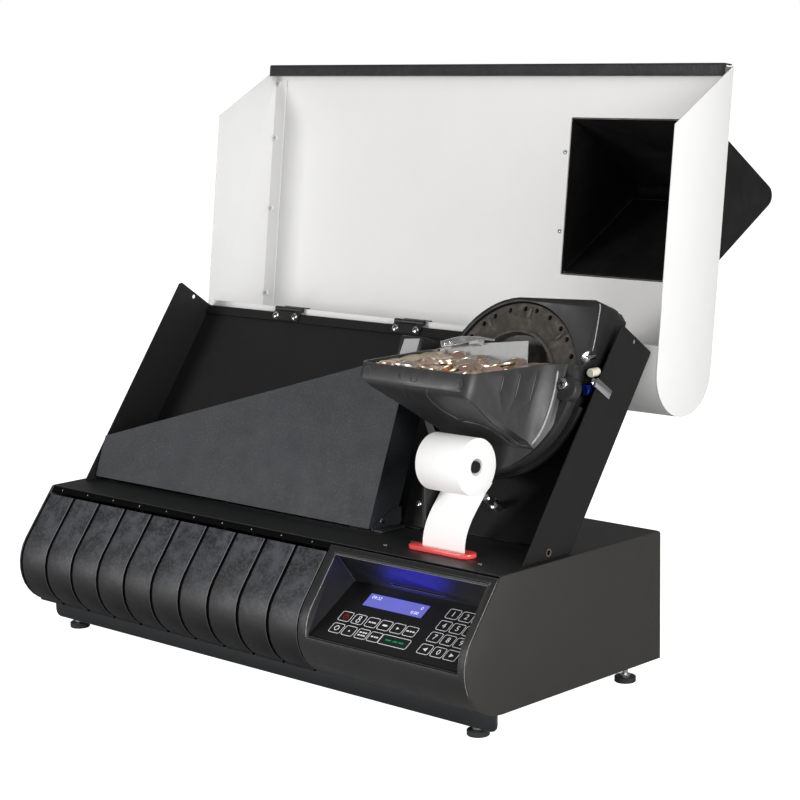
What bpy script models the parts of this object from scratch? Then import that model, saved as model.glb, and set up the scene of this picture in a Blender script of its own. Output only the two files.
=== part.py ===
"""Coin sorting machine with a tilting lid, ten coin drawers, an inclined disc
hopper and a receipt printer.  Blender 4.5 script, metres, +Z up.

All driving sizes below are in millimetres in the machine's own datum:
x from the outer face of the left side plate, y from the front datum towards
the rear, z from the lower edge of the side plates.  place() turns them into
metres about the centre of the floor under the machine.
"""

import math

import bmesh
import bpy
from mathutils import Matrix, Vector

# ------------------------------------------------------------------ sizes
W, D, H = 693.2, 297.8, 137.0          # base: width, depth of the box, height
X_MID = W / 2                          # centre plane
Y_MID = 264.58                         # middle of the whole depth, hood included
FLOOR = -29.0                          # underside of the feet

YT, PHI = 44.1, math.radians(37.34)    # top front edge and slope of the front
R_FR, YC = 51.2, 43.0                  # front roll: radius, centre
SHEET = 1.5

N_DRAWER, DX0, DPITCH = 10, 2.3, 46.15
DRAWER_TRAVEL = 190.0

LEAN = math.radians(35.5)              # lean of the upper frame
YF0, DEPTH_F, S_TOP = 157.6, 58.2, 230.5
WALL_X = 8.5

TILT = math.radians(21.5)              # lean of the sorting rail and disc
YQ0, ZQ0 = 98.5, 140.4
DISC_X, DISC_Q, DISC_R = 578.0, 178.0, 85.3
E_FACE = -29.0                         # front face of the hopper housing
N_PEGS = 9                             # each with three holes around it

OPEN_LEAN = math.radians(6.94)         # lean of the open lid
YL0, ZL0 = 295.4, 329.1                # lip line of the lid
T_LID, L_LID, A_CURL = 95.0, 296.0, 25.0
PIN_N = 3.6                            # hinge pin in front of the lip
LX0, LX1 = 1.0, 692.2

ROLL_Y, ROLL_Z, ROLL_R = 101.3, 224.8, 29.3
ROLL_X0, ROLL_X1 = 556.5, 613.0

for ob in list(bpy.data.objects):
    bpy.data.objects.remove(ob, do_unlink=True)

scene_col = bpy.context.scene.collection


# ------------------------------------------------------------------ frames
class Frame:
    """Origin (mm) and three axes; a, b span the drawing plane, c is its normal."""

    def __init__(self, origin, a, b, c):
        self.o, self.a, self.b, self.c = (Vector(v) for v in (origin, a, b, c))

    def at(self, a, b, c):
        return self.o + self.a * a + self.b * b + self.c * c


def place(v):
    return Vector(((v[0] - X_MID) / 1000, (v[1] - Y_MID) / 1000, (v[2] - FLOOR) / 1000))


def sn(t):
    return math.sin(t)


def cs(t):
    return math.cos(t)


# world: a = y, b = z, c = x (profiles seen from the side)
SIDE = Frame((0, 0, 0), (0, 1, 0), (0, 0, 1), (1, 0, 0))
# plan: a = x, b = y, c = z
PLAN = Frame((0, 0, 0), (1, 0, 0), (0, 1, 0), (0, 0, 1))
# front: a = x, b = z, c = -y ... use c = y with reversed handedness handled by prism()
FRONT = Frame((0, 0, 0), (1, 0, 0), (0, 0, 1), (0, 1, 0))
# upper frame: a = s up the slope, b = d out of the panel, c = x
BODY = Frame((0, YF0, H), (0, sn(LEAN), cs(LEAN)), (0, -cs(LEAN), sn(LEAN)), (1, 0, 0))
# sorter plane: a = x, b = q up the slope, c = e out of the plane
SORT = Frame((0, YQ0, ZQ0), (1, 0, 0), (0, sn(TILT), cs(TILT)), (0, -cs(TILT), sn(TILT)))
# the same seen from the side: a = q, b = e, c = x
SORT_S = Frame((0, YQ0, ZQ0), (0, sn(TILT), cs(TILT)), (0, -cs(TILT), sn(TILT)), (1, 0, 0))
# lid: a = u up the lid, b = n out of its mouth, c = x
LID = Frame((0, YL0, ZL0), (0, sn(OPEN_LEAN), cs(OPEN_LEAN)), (0, -cs(OPEN_LEAN), sn(OPEN_LEAN)), (1, 0, 0))
# keypad floor: a = x, b = w up the slope, c = out of the floor
FL_T = math.radians(32.0)
FY0, FZ0 = -5.6, 50.0
FLOORF = Frame((0, FY0, FZ0), (1, 0, 0), (0, cs(FL_T), sn(FL_T)), (0, -sn(FL_T), cs(FL_T)))


# ------------------------------------------------------------------ materials
def material(name, colour, rough, metal=0.0):
    m = bpy.data.materials.new(name)
    m.use_nodes = True
    b = m.node_tree.nodes["Principled BSDF"]
    b.inputs["Base Color"].default_value = (*colour, 1)
    b.inputs["Roughness"].default_value = rough
    b.inputs["Metallic"].default_value = metal
    m.diffuse_color = (*colour, 1)
    return m


BLACK_COAT = material("black_powder_coat", (0.022, 0.021, 0.020), 0.55)
WHITE_COAT = material("white_powder_coat", (0.80, 0.80, 0.79), 0.5)
DARK_PLASTIC = material("black_moulded_plastic", (0.018, 0.018, 0.019), 0.45)
GREY_LEATHER = material("blue_grey_grained_coat", (0.045, 0.055, 0.062), 0.6)
ZINC = material("zinc_plated_steel", (0.62, 0.63, 0.64), 0.28, 1.0)
RUBBER = material("black_rubber", (0.02, 0.02, 0.02), 0.8)
RED = material("red_gloss_plastic", (0.65, 0.02, 0.02), 0.25)
PAPER = material("white_paper", (0.9, 0.9, 0.89), 0.85)
FOIL = material("black_keypad_foil", (0.012, 0.012, 0.014), 0.5)
LCD = material("blue_display", (0.16, 0.17, 0.75), 0.2)
BLUE = material("blue_anodised", (0.02, 0.05, 0.35), 0.3, 0.6)
DISC_M = material("scuffed_disc", (0.07, 0.062, 0.052), 0.6)
CREAM = material("cream_nylon", (0.75, 0.70, 0.58), 0.5)
GREEN = material("green_board", (0.02, 0.12, 0.05), 0.5)
STEEL = material("satin_steel", (0.50, 0.50, 0.50), 0.35, 1.0)


# ------------------------------------------------------------------ makers
def finish(name, bm, mat, helper=False, smooth=False):
    bmesh.ops.recalc_face_normals(bm, faces=bm.faces[:])
    me = bpy.data.meshes.new(name)
    bm.to_mesh(me)
    bm.free()
    me.materials.append(mat)
    if smooth:
        me.shade_smooth()
        me.set_sharp_from_angle(angle=math.radians(32))
    ob = bpy.data.objects.new(name, me)
    scene_col.objects.link(ob)
    if helper:
        ob.hide_render = True
        ob.display_type = "WIRE"
    return ob


def prism(name, fr, outline, c0, c1, mat, holes=(), helper=False, smooth=False):
    """Outline (a, b) with optional holes, extruded from c0 to c1 along the frame's normal."""
    bm = bmesh.new()
    edges = []
    for loop in (outline, *holes):
        vs = [bm.verts.new(place(fr.at(a, b, c0))) for a, b in loop]
        edges += [bm.edges.new((vs[i], vs[(i + 1) % len(vs)])) for i in range(len(vs))]
    if holes:
        bmesh.ops.triangle_fill(bm, use_beauty=True, use_dissolve=False, edges=edges)
    else:
        bm.faces.new([e.verts[0] for e in edges])
    ext = bmesh.ops.extrude_face_region(bm, geom=bm.faces[:])
    shift = (place(fr.at(0, 0, c1)) - place(fr.at(0, 0, c0)))
    bmesh.ops.translate(bm, vec=shift, verts=[g for g in ext["geom"] if isinstance(g, bmesh.types.BMVert)])
    return finish(name, bm, mat, helper, smooth)


def rect(a0, a1, b0, b1):
    return [(a0, b0), (a1, b0), (a1, b1), (a0, b1)]


def block(name, fr, a0, a1, b0, b1, c0, c1, mat, helper=False):
    return prism(name, fr, rect(a0, a1, b0, b1), c0, c1, mat, helper=helper)


def arc(ca, cb, r, t0, t1, n):
    """n + 1 points of an arc, angles in degrees."""
    return [(ca + r * cs(math.radians(t0 + (t1 - t0) * i / n)), cb + r * sn(math.radians(t0 + (t1 - t0) * i / n))) for i in range(n + 1)]


def circle(ca, cb, r, n):
    return [(ca + r * cs(2 * math.pi * (i + 0.5) / n), cb + r * sn(2 * math.pi * (i + 0.5) / n)) for i in range(n)]


def turned(name, fr, ca, cb, profile, mat, n=32, helper=False):
    """Solid of revolution about the frame's normal at (ca, cb): profile of (r, c)."""
    bm = bmesh.new()
    rings = []
    for r, c in profile:
        if r <= 0:
            rings.append([bm.verts.new(place(fr.at(ca, cb, c)))])
        else:
            rings.append([bm.verts.new(place(fr.at(ca + r * cs(2 * math.pi * i / n), cb + r * sn(2 * math.pi * i / n), c))) for i in range(n)])
    closed = profile[0][0] > 0
    pairs = list(zip(rings, rings[1:]))
    if closed:
        pairs.append((rings[-1], rings[0]))
    for p, q in pairs:
        for i in range(n):
            j = (i + 1) % n
            if len(p) == 1:
                bm.faces.new((p[0], q[i], q[j]))
            elif len(q) == 1:
                bm.faces.new((p[i], q[0], p[j]))
            else:
                bm.faces.new((p[i], q[i], q[j], p[j]))
    return finish(name, bm, mat, helper, smooth=True)


def boolean(ob, other, op):
    other.hide_render = True
    other.display_type = "WIRE"
    m = ob.modifiers.new(op.lower() + "_" + other.name, "BOOLEAN")
    m.operation = op
    m.object = other
    m.solver = "EXACT"
    return ob


def join(ob, *others):
    for o in others:
        boolean(ob, o, "UNION")
    return ob


def cut(ob, *others):
    for o in others:
        boolean(ob, o, "DIFFERENCE")
    return ob


def ease(ob, width, segments=1, angle=40):
    """Broken edges on a pressed or moulded piece, width in mm."""
    m = ob.modifiers.new("edge", "BEVEL")
    m.width = width / 1000
    m.segments = segments
    m.limit_method = "ANGLE"
    m.angle_limit = math.radians(angle)
    m.use_clamp_overlap = True
    return ob


def pivot(name, point_mm):
    e = bpy.data.objects.new(name, None)
    e.empty_display_size = 0.02
    e.location = place(point_mm)
    scene_col.objects.link(e)
    bpy.context.view_layer.update()
    return e


def carry(empty, *obs):
    for o in obs:
        o.parent = empty
        o.matrix_parent_inverse = empty.matrix_world.inverted()


# ------------------------------------------------------------------ front curve


def front_curve(off, t_start, a_end, n=9):
    """Points (y, z) of the front, offset inwards by off: slope from t_start mm below the
    top edge, then the roll down to a_end degrees below the horizontal."""
    nrm = Vector((cs(PHI), -sn(PHI)))            # inwards
    top = Vector((YT, H)) - Vector((sn(PHI), cs(PHI))) * t_start + nrm * off
    a_tan = math.degrees(PHI)
    r = R_FR - off
    pts = [(top.x, top.y)]
    for i in range(n + 1):
        t = math.radians(a_tan + (a_end - a_tan) * i / n)
        pts.append((YC - r * cs(t), R_FR + r * sn(t)))
    return pts


def side_outline():
    c = front_curve(0, 0.8, -90, 12)
    return [(D, 0), (D, H - 3), (D - 0.9, H - 0.9), (D - 3, H), (YT + 1.4, H)] + c


# ================================================================== base
left = prism("left_side_plate", SIDE, side_outline(), 0, 2.0, BLACK_COAT)
right = prism("right_side_plate", SIDE, side_outline(), W - 2.0, W, BLACK_COAT)
XI0, XI1 = 2.3, W - 2.3

# levelling feet: x, y
FEET = {"foot_front_left": (35.6, 48.5), "foot_front_right": (657.6, 48.5),
        "foot_rear_left": (35.6, 284.0), "foot_rear_right": (657.6, 284.0)}
tray = prism("base_tray", PLAN, rect(XI0, XI1, 46, D - 1.9), 0.0, SHEET, BLACK_COAT,
             holes=[circle(x, y, 3.5, 12) for x, y in FEET.values()])
join(tray, block("tray_flange_left", SIDE, 60, D - 4, 0.3, 14, XI0, XI0 + SHEET, BLACK_COAT, True),
     block("tray_flange_right", SIDE, 60, D - 4, 0.3, 14, XI1 - SHEET, XI1, BLACK_COAT, True))

for fname, (x, y) in FEET.items():
    turned(fname, PLAN, x, y, [(0, FLOOR), (10.7, FLOOR), (11.5, FLOOR + 0.8), (11.5, FLOOR + 5.6), (10.7, FLOOR + 6.4),
                               (6.0, FLOOR + 6.6), (6.0, FLOOR + 8.4), (3.0, FLOOR + 8.6), (3.0, 4.4), (0, 4.4)], RUBBER, 24)

# front plinth rail: a folded strip under the front edge
RX0, RX1, RZ0, RZ1 = 4.5, 690.5, -18.4, 3.0
rail_face = [(RX0, RZ1)] + [(RX0 + 8 - 8 * cs(math.radians(t)), RZ0 + 8 - 8 * sn(math.radians(t))) for t in (0, 30, 60, 90)] \
    + [(RX1 - 8 + 8 * sn(math.radians(t)), RZ0 + 8 - 8 * cs(math.radians(t))) for t in (0, 30, 60, 90)] + [(RX1, RZ1)]
front_rail = prism("front_rail", FRONT, rail_face, 38.0, 40.0, BLACK_COAT)
join(front_rail, prism("rail_shelf", PLAN, rect(20, 675, 39, 72), -2.1, -0.4, BLACK_COAT,
                       holes=[circle(35.6, 48.5, 3.5, 12), circle(657.6, 48.5, 3.5, 12)], helper=True))

# top plate: chute opening under the rail, paper slot, folded front lip
CH_X0, CH_X1, CH_Y0, CH_Y1 = 46.0, 426.0, 106.0, 136.0
SLOT_X0, SLOT_X1 = 553.0, 616.5
top = prism("top_plate", PLAN, rect(XI0, XI1, YT + 0.6, D - 1.9), H - SHEET, H, BLACK_COAT,
            holes=[rect(CH_X0, CH_X1, CH_Y0, CH_Y1), rect(SLOT_X0, SLOT_X1, 77.5, 86.0)])
lip_in = Vector((cs(PHI), -sn(PHI)))
lip_dn = Vector((-sn(PHI), -cs(PHI)))
p0 = Vector((YT + 2.2, H - 0.2))
p1 = p0 + lip_dn * 8.2
join(top, prism("top_lip", SIDE, [(p0.x, p0.y), (p1.x, p1.y), (p1.x + lip_in.x * 1.5, p1.y + lip_in.y * 1.5), (p0.x + 2.2, p0.y - 0.6)],
                XI0, 463.4, BLACK_COAT, helper=True))

rear = prism("rear_panel", FRONT, rect(XI0, XI1, 2.0, H - SHEET - 0.3), D - SHEET, D, BLACK_COAT,
             holes=[rect(596, 644, 34, 82)] + [rect(120 + 26 * i, 138 + 26 * i, 92, 95) for i in range(8)]
             + [rect(120 + 26 * i, 138 + 26 * i, 102, 105) for i in range(8)])

# ---------------------------------------------------------------- drawers
DR_F0, DR_F1 = 1.0, DPITCH - 1.0        # front, across the pitch
DR_B0, DR_B1 = 3.1, DPITCH - 3.1        # box, across the pitch
DR_Z0, DR_Z1, DR_Y1 = 5.0, 112.0, 262.0


def drawer_mesh():
    outer = front_curve(0.0, 11.2, -60, 9)
    inner = front_curve(3.0, 11.2, -60, 9)
    skin = prism("drawer", SIDE, outer + inner[::-1], DX0 + DR_F0, DX0 + DR_F1, DARK_PLASTIC)
    box_front = [p for p in front_curve(2.0, 11.2, -52, 9) if p[1] < DR_Z1]
    zt = DR_Z1
    yt = YT - (H - zt) * math.tan(PHI) + 3.4
    y_low = box_front[-1][0]
    outline = [(DR_Y1, DR_Z0), (DR_Y1, zt), (yt, zt)] + box_front + [(y_low + 4, DR_Z0)]
    box = prism("drawer_box", SIDE, outline, DX0 + DR_B0, DX0 + DR_B1, DARK_PLASTIC, helper=True)
    ci = [p for p in front_curve(3.6, 11.2, -38, 7) if p[1] < DR_Z1 - 6]
    cavity = [(DR_Y1 - 1.8, DR_Z0 + 1.8), (DR_Y1 - 1.8, zt + 5), (yt + 2.2, zt + 5)] + [(p[0] + 0.6, p[1]) for p in ci] + [(ci[-1][0] + 12, DR_Z0 + 1.8)]
    hole = prism("drawer_cavity", SIDE, cavity, DX0 + DR_B0 + 1.6, DX0 + DR_B1 - 1.6, DARK_PLASTIC, helper=True)
    join(skin, box)
    cut(skin, hole)
    bpy.context.view_layer.update()
    dg = bpy.context.evaluated_depsgraph_get()
    me = bpy.data.meshes.new_from_object(skin.evaluated_get(dg))
    for o in (skin, box, hole):
        bpy.data.objects.remove(o, do_unlink=True)
    return me


dmesh = drawer_mesh()
for i in range(N_DRAWER):
    e = pivot(f"slide_{i + 1}", (DX0 + DPITCH * (i + 0.5), 60, 40))
    ob = bpy.data.objects.new(f"drawer_{i + 1}", dmesh)
    ob.location = (DPITCH * i / 1000, 0, 0)
    scene_col.objects.link(ob)
    bpy.context.view_layer.update()
    carry(e, ob)

guide = block("drawer_guide", PLAN, 4, 464.3, 70, 262.5, 2.0, 3.4, BLACK_COAT)
for i in range(1, N_DRAWER + 1):
    x = DX0 + DPITCH * i
    join(guide, block(f"guide_fin_{i}", SIDE, 62, 262.5, 2.2, 124, x - 0.7, x + 0.7, BLACK_COAT, True))

# ---------------------------------------------------------------- control panel
CX0, CX1 = 464.6, XI1 - 0.3
OP_X0, OP_X1 = 476.0, 682.0
skin_o = front_curve(0.0, 2.6, -75, 12)
skin_i = front_curve(3.0, 2.6, -75, 12)
housing = prism("control_housing", SIDE, skin_o + skin_i[::-1], CX0, CX1, DARK_PLASTIC)
wall_side = [(p[0], p[1]) for p in front_curve(1.0, 4.0, -70, 10)] + [(60, 4.0), (60, 40), (84, 92), (72, 132)]
floor_top = (66.8, 95.2)


def recess_wall(name, x0, x1):
    tri = front_curve(1.0, 10.5, -4.8, 9) + [(70.5, 93.0), (66.0, 99.5), (43.5, 130.2)]
    return prism(name, SIDE, tri, x0, x1, DARK_PLASTIC, helper=True)


opening = prism("recess_cut", SIDE, [(FY0, FZ0), (FY0 + 20, FZ0 + 12.4), (46, 112), (41.5, 128.0), (36.4, 127.0), (10, 120), (-30, 80), (-20, 45)],
                OP_X0, OP_X1, DARK_PLASTIC, helper=True)
cut(housing, opening)
# floor plate under the foil, with the display window
FLW = 86.0
floor_plate = prism("recess_floor", FLOORF, rect(OP_X0 - 2, OP_X1 + 2, -1.5, FLW + 1.5), -3.0, -0.6, DARK_PLASTIC,
                    holes=[rect(507.0, 592.6, 51.5, 74.5)], helper=True)
# back wall of the recess with the paper exit
bw_a, bw_b = Vector((66.0, 96.8)), Vector((38.9, 130.6))
bw_d = (bw_b - bw_a).normalized()
BACKW = Frame((0, bw_a.x, bw_a.y), (1, 0, 0), (0, bw_d.x, bw_d.y), (0, -bw_d.y, bw_d.x))
back_wall = prism("recess_back", BACKW, rect(OP_X0 - 2, OP_X1 + 2, -3.5, 43.5), 0.0, 2.4, DARK_PLASTIC,
                  holes=[rect(533, 605, 4.5, 8.5)], helper=True)
join(housing, recess_wall("recess_left", OP_X0 - 2.2, OP_X0), recess_wall("recess_right", OP_X1, OP_X1 + 2.2), floor_plate, back_wall)

foil = prism("keypad_foil", FLOORF, rect(OP_X0 + 0.6, OP_X1 - 0.6, 1.8, FLW - 3.2), -0.3, 0.4, FOIL,
             holes=[rect(508.6, 591.0, 53.6, 72.4)])
lcd = block("lcd_display", FLOORF, 509.0, 590.6, 54.0, 72.0, -9.0, 0.1, LCD)

# ---------------------------------------------------------------- printer
printer = prism("printer_unit", SIDE, [(84, 72), (132, 72), (132, 134.8), (60, 134.8), (66, 118), (82, 98)], 540, 628, DARK_PLASTIC)
cut(printer, block("printer_channel", SIDE, 75.5, 96, 98, 140, 549, 619, DARK_PLASTIC, True),
    turned("printer_bore", SIDE, 87.5, 107, [(0, 535), (2.4, 535), (2.4, 640), (0, 640)], DARK_PLASTIC, 16, True))
platen = turned("platen_roller", SIDE, 87.5, 107, [(0, 541), (2.0, 541), (2.0, 551.5), (5.2, 551.5), (5.2, 616.5), (2.0, 616.5), (2.0, 627), (0, 627)], RUBBER, 20)
carry(pivot("platen_axis", (584, 87.5, 107)), platen)


def stadium(x0, x1, y0, y1, n=8):
    r = (y1 - y0) / 2
    ym = (y0 + y1) / 2
    return arc(x1 - r, ym, r, -90, 90, n) + arc(x0 + r, ym, r, 90, 270, n)


bezel = prism("paper_slot_bezel", PLAN, stadium(541.0, 625.5, 71.0, 92.0), H + 0.3, H + 4.6, RED,
              holes=[rect(554.5, 615.0, 78.6, 84.6)])


def paper_path():
    """Centre line of the strip from the roll down into the printer, (y, z)."""
    r = ROLL_R + 1.1
    pts = [(ROLL_Y + r * cs(math.radians(t)), ROLL_Z + r * sn(math.radians(t))) for t in (-40, -50, -60)]
    ctrl = [Vector(pts[-1]), Vector((100.5, 180.5)), Vector((81.6, 166.0)), Vector((81.6, 140.0))]
    for i in range(1, 11):
        t = i / 10
        b = ((1 - t) ** 3) * ctrl[0] + 3 * t * (1 - t) ** 2 * ctrl[1] + 3 * t * t * (1 - t) * ctrl[2] + t ** 3 * ctrl[3]
        pts.append((b.x, b.y))
    pts += [(81.6, 128.0), (81.3, 114.0)]
    return pts


def ribbon(pts, t):
    out_a, out_b = [], []
    for i, p in enumerate(pts):
        p = Vector(p)
        a = Vector(pts[max(i - 1, 0)])
        b = Vector(pts[min(i + 1, len(pts) - 1)])
        d = (b - a).normalized()
        n = Vector((-d.y, d.x))
        out_a.append(tuple(p + n * t / 2))
        out_b.append(tuple(p - n * t / 2))
    return out_a + out_b[::-1]


strip = prism("paper_strip", SIDE, ribbon(paper_path(), 0.5), ROLL_X0 - 0.2, ROLL_X1 - 0.2, PAPER)
roll = turned("paper_roll", SIDE, ROLL_Y, ROLL_Z, [(8.6, ROLL_X0), (ROLL_R, ROLL_X0), (ROLL_R, ROLL_X1), (8.6, ROLL_X1)], PAPER, 48)
carry(pivot("roll_axis", (585, ROLL_Y, ROLL_Z)), roll)
bracket = prism("roll_bracket", SIDE, [(93.4, H + 0.5), (120, H + 0.5), (112, 232)] + arc(ROLL_Y, ROLL_Z, 11, 33, 147, 4) + [(91, 226)], 549.6, 551.4, BLACK_COAT)
join(bracket, block("roll_bracket_foot", PLAN, 528, 551, 94, 118, H + 0.3, H + 2.2, BLACK_COAT, True),
     turned("roll_spindle", SIDE, ROLL_Y, ROLL_Z, [(0, 550), (6.2, 550), (6.2, 612), (5.4, 613.5), (0, 613.5)], STEEL, 24, True))

# ================================================================== upper frame
ZB = H + 0.3


def body_wall(name, x0, x1):
    """Side flange: foot on the base top, leaning 35.5 degrees, squared top."""
    def at(s, d):
        v = BODY.at(s, d, 0)
        return (v.y, v.z)
    f = at(S_TOP, DEPTH_F)
    rr = at(S_TOP, 0)
    z_foot = ZB
    y_front = YF0 - DEPTH_F / cs(LEAN) + (z_foot - H) * math.tan(LEAN)
    y_rear = YF0 - SHEET / cs(LEAN) * 0 + (z_foot - H) * math.tan(LEAN)
    t1, t2 = at(S_TOP - 3, DEPTH_F), at(S_TOP, DEPTH_F - 3)
    hole_a, hole_b = at(225.7, 29.5), at(-12.8, 30.0)
    return prism(name, SIDE, [(y_front, z_foot), t1, t2, rr, (y_rear, z_foot)], x0, x1, BLACK_COAT,
                 holes=[circle(*hole_a, 2.6, 12), circle(*hole_b, 3.0, 12)], helper=name != "mechanism_frame")


mech = body_wall("mechanism_frame", WALL_X, WALL_X + SHEET)


def lean_plate(name, x0, x1, s1, d0, d1):
    """Plate along the back panel from the base top up to s1, between depths d0 and d1."""
    def foot(d):
        return (YF0 - d / cs(LEAN) + (ZB + 0.5 - H) * math.tan(LEAN), ZB + 0.5)
    def at(s, d):
        v = BODY.at(s, d, 0)
        return (v.y, v.z)
    return prism(name, SIDE, [foot(d1), at(s1, d1), at(s1, d0), foot(d0)], x0, x1, BLACK_COAT, helper=True)


join(mech, body_wall("frame_wall_right", W - WALL_X - SHEET, W - WALL_X),
     lean_plate("frame_back", WALL_X + 0.5, W - WALL_X - 0.5, S_TOP - 0.4, -SHEET, 0.1),
     block("frame_hem", BODY, 218.5, S_TOP - 0.9, -0.7, 2.5, WALL_X + 1.0, W - WALL_X - 1.0, BLACK_COAT, True),
     block("frame_foot", SIDE, YF0 + 0.3, YF0 + 18, ZB + 0.2, ZB + 1.9, 24, W - 24, BLACK_COAT, True))

# rail cover: plate parallel to the sorting rail, sloping top edge, folded right side
CV_X0, CV_X1 = 12.0, 463.0


def cv_top(x):
    return 48.8 + 0.316 * (x - 9.6)


cover = prism("rail_cover", SORT, [(CV_X0, 0.6), (CV_X1, 0.6), (CV_X1, 146), (404, cv_top(404)), (CV_X0, cv_top(CV_X0))], -SHEET, 0.0, GREY_LEATHER)
join(cover, prism("cover_return", SORT_S, [(0.9, -0.4), (145.5, -0.4), (145.5, -38.0), (12.9, -38.0)], CV_X1 - SHEET, CV_X1 - 0.1, BLACK_COAT, helper=True),
     prism("cover_tab", SIDE, [(104, H + 0.6), (148, H + 0.6), (148, 156.5), (136, 156.5), (104, 143)], CV_X1 - 0.7, CV_X1 + 1.4, BLACK_COAT, helper=True),
     block("cover_tab_foot", PLAN, CV_X1 + 0.6, CV_X1 + 14, 105, 140, H + 0.4, H + 2.2, BLACK_COAT, True))

# sorting rail under the cover, one outlet per coin size
rail = prism("sorting_rail", SORT, [(22, cv_top(22) - 40), (448, cv_top(448) - 40 - 6), (448, cv_top(448) - 22), (22, cv_top(22) - 6)], -24.0, -15.0, STEEL,
             holes=[rect(48 + 38 * i, 48 + 38 * i + 22 + i * 0.8, cv_top(48 + 38 * i) - 31, cv_top(48 + 38 * i) - 16 + i * 0.4) for i in range(N_DRAWER)])
for i, x in enumerate((24.0, 428.0)):
    join(rail, block(f"rail_leg_{i}", SORT_S, 8.2, cv_top(x) - 26, -28.0, -22.0, x, x + 14, STEEL, True))

sensor = prism("coin_sensor", SORT_S, [(181, -40), (181, -14), (211.7, -14), (212.7, -15), (214.0, -26), (213, -40)], 430.0, 461.0, DARK_PLASTIC)
hop_br = block("hopper_bracket", SORT, 468, 498, 15.6, 96, -46.0, -44.0, BLACK_COAT)
join(hop_br, block("hopper_bracket_foot", SIDE, 140.6, 155, H + 0.4, H + 2.2, 468.5, 497.5, BLACK_COAT, True))

# ================================================================== hopper
hh = [(665.5, DISC_Q + 94.5), (671.0, DISC_Q + 92), (673.5, DISC_Q + 87), (673.5, 212), (669.5, 203)] \
    + arc(DISC_X, DISC_Q, 90.5, 10, -184, 24) + arc(DISC_X, DISC_Q, 91.2, 172, 97, 12)
shell = prism("hopper_housing", SORT, hh, -62.0, E_FACE, DARK_PLASTIC)
flange = prism("housing_flange", SORT, arc(DISC_X, DISC_Q, 101.0, -186, -9, 30) + arc(DISC_X, DISC_Q, 88.6, -9, -186, 28), -34.0, E_FACE + 0.2, DARK_PLASTIC, helper=True)
rear_box = prism("housing_rear", SORT, [(560, 216), (671, 216), (671, 263), (663, DISC_Q + 93), (560, DISC_Q + 93)], -79.0, -60.0, DARK_PLASTIC, helper=True)
join(shell, flange, rear_box)
cut(shell, turned("disc_recess", SORT, DISC_X, DISC_Q, [(0, -49), (58.6, -49), (58.6, -41.2), (87.0, -41.2), (87.0, -20), (0, -20)], DARK_PLASTIC, 48, True),
    turned("shaft_bore", SORT, DISC_X, DISC_Q, [(0, -80), (6.6, -80), (6.6, -40), (0, -40)], DARK_PLASTIC, 24, True))

disc_outline = circle(DISC_X, DISC_Q, DISC_R, 54)
hole_ring = []
for i in range(N_PEGS):
    for off in (-5.5, 5.5, 20.0):
        t = math.radians(360 / N_PEGS * i + 6 + off)
        hole_ring.append(circle(DISC_X + 79.4 * cs(t), DISC_Q + 79.4 * sn(t), 3.0, 8))
disc = prism("hopper_disc", SORT, disc_outline, -40.0, -31.5, DISC_M,
             holes=[circle(DISC_X, DISC_Q, 54.0, 36)] + hole_ring)
hub = turned("disc_hub", SORT, DISC_X, DISC_Q, [(0, -38.5), (53.0, -38.5), (54.2, -29.2), (57.4, -29.2), (57.4, -43.0), (14, -47.5), (6.0, -47.5), (6.0, -66.0), (0, -66.0)], DISC_M, 36, True)
join(disc, hub)
for i in range(N_PEGS):
    t = math.radians(360 / N_PEGS * i + 6)
    ca, sa = cs(t), sn(t)
    peg = Frame(SORT.at(DISC_X + 76 * ca, DISC_Q + 76 * sa, 0), SORT.a * ca + SORT.b * sa, SORT.a * -sa + SORT.b * ca, SORT.c)
    join(disc, prism(f"disc_peg_{i}", peg, [(-6.5, -1.0), (4.5, -1.5), (5.5, 0), (4.5, 1.5), (-6.5, 1.0)], -33.0, -28.4, DISC_M, helper=True))
carry(pivot("disc_axis", SORT.at(DISC_X, DISC_Q, -35)), disc)

motor = turned("hopper_motor", SORT, DISC_X, DISC_Q, [(0, -81.0), (19.5, -81.0), (21.0, -79.5), (21.0, -62.4), (6.6, -62.4), (6.6, -69.0), (0, -69.0)], STEEL, 28)

# bowl: walls parallel to the disc's slope, level rim, floor sloping down to the disc
RIM_Z = 323.4
BW = 2.4
RING_X, RING_Q = 578.0, 176.0
PLAN_S = Frame(SORT.o, SORT.a, SORT.c, SORT.b)      # a = x, b = e, c = q


def bowl_plan(off, rear):
    """Right wall, front corners and left wall as (x, e); both walls flare out to the ring."""
    pts = [(665.5 - off, rear), (664.5 - off, -10.0), (661.5 - off, -7.2), (657.2 - off, -3.6), (653.2 - off, 1.6), (650.2 - off, 7.5), (648 - off, 14.0), (643 - off, 40.0)]
    pts += arc(620.5, 80.0, 14 - off, 8, 90, 5) + arc(494.4, 82.0, 12 - off, 90, 175, 5)
    pts += [(482.4 + off, 42.0), (482.4 + off, 6.0), (483.6 + off, -3.6), (485.6 + off, -9.5), (487.0 + off, rear)]
    return pts


def bowl_side(off, over, rear):
    """Front wall, floor and the drop to the ring as (q, e)."""
    def rim(e):
        return ((RIM_Z + over - ZQ0 - sn(TILT) * e) / cs(TILT), e)
    fr = 94.0 - off
    return [rim(fr), (145.5 + off, fr), (141.8 + off, fr - 0.9), (139.0 + off, fr - 3.2), (137.0 + off, fr - 7.0), (119.0 + off, 20 - off), (115.4 + off, 6 - off),
            (109 + off, -1.5 - off), (98 + off, -4.6 - off), (76 + off, -5.9 - off), (76 + off, rear), rim(rear)]


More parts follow.
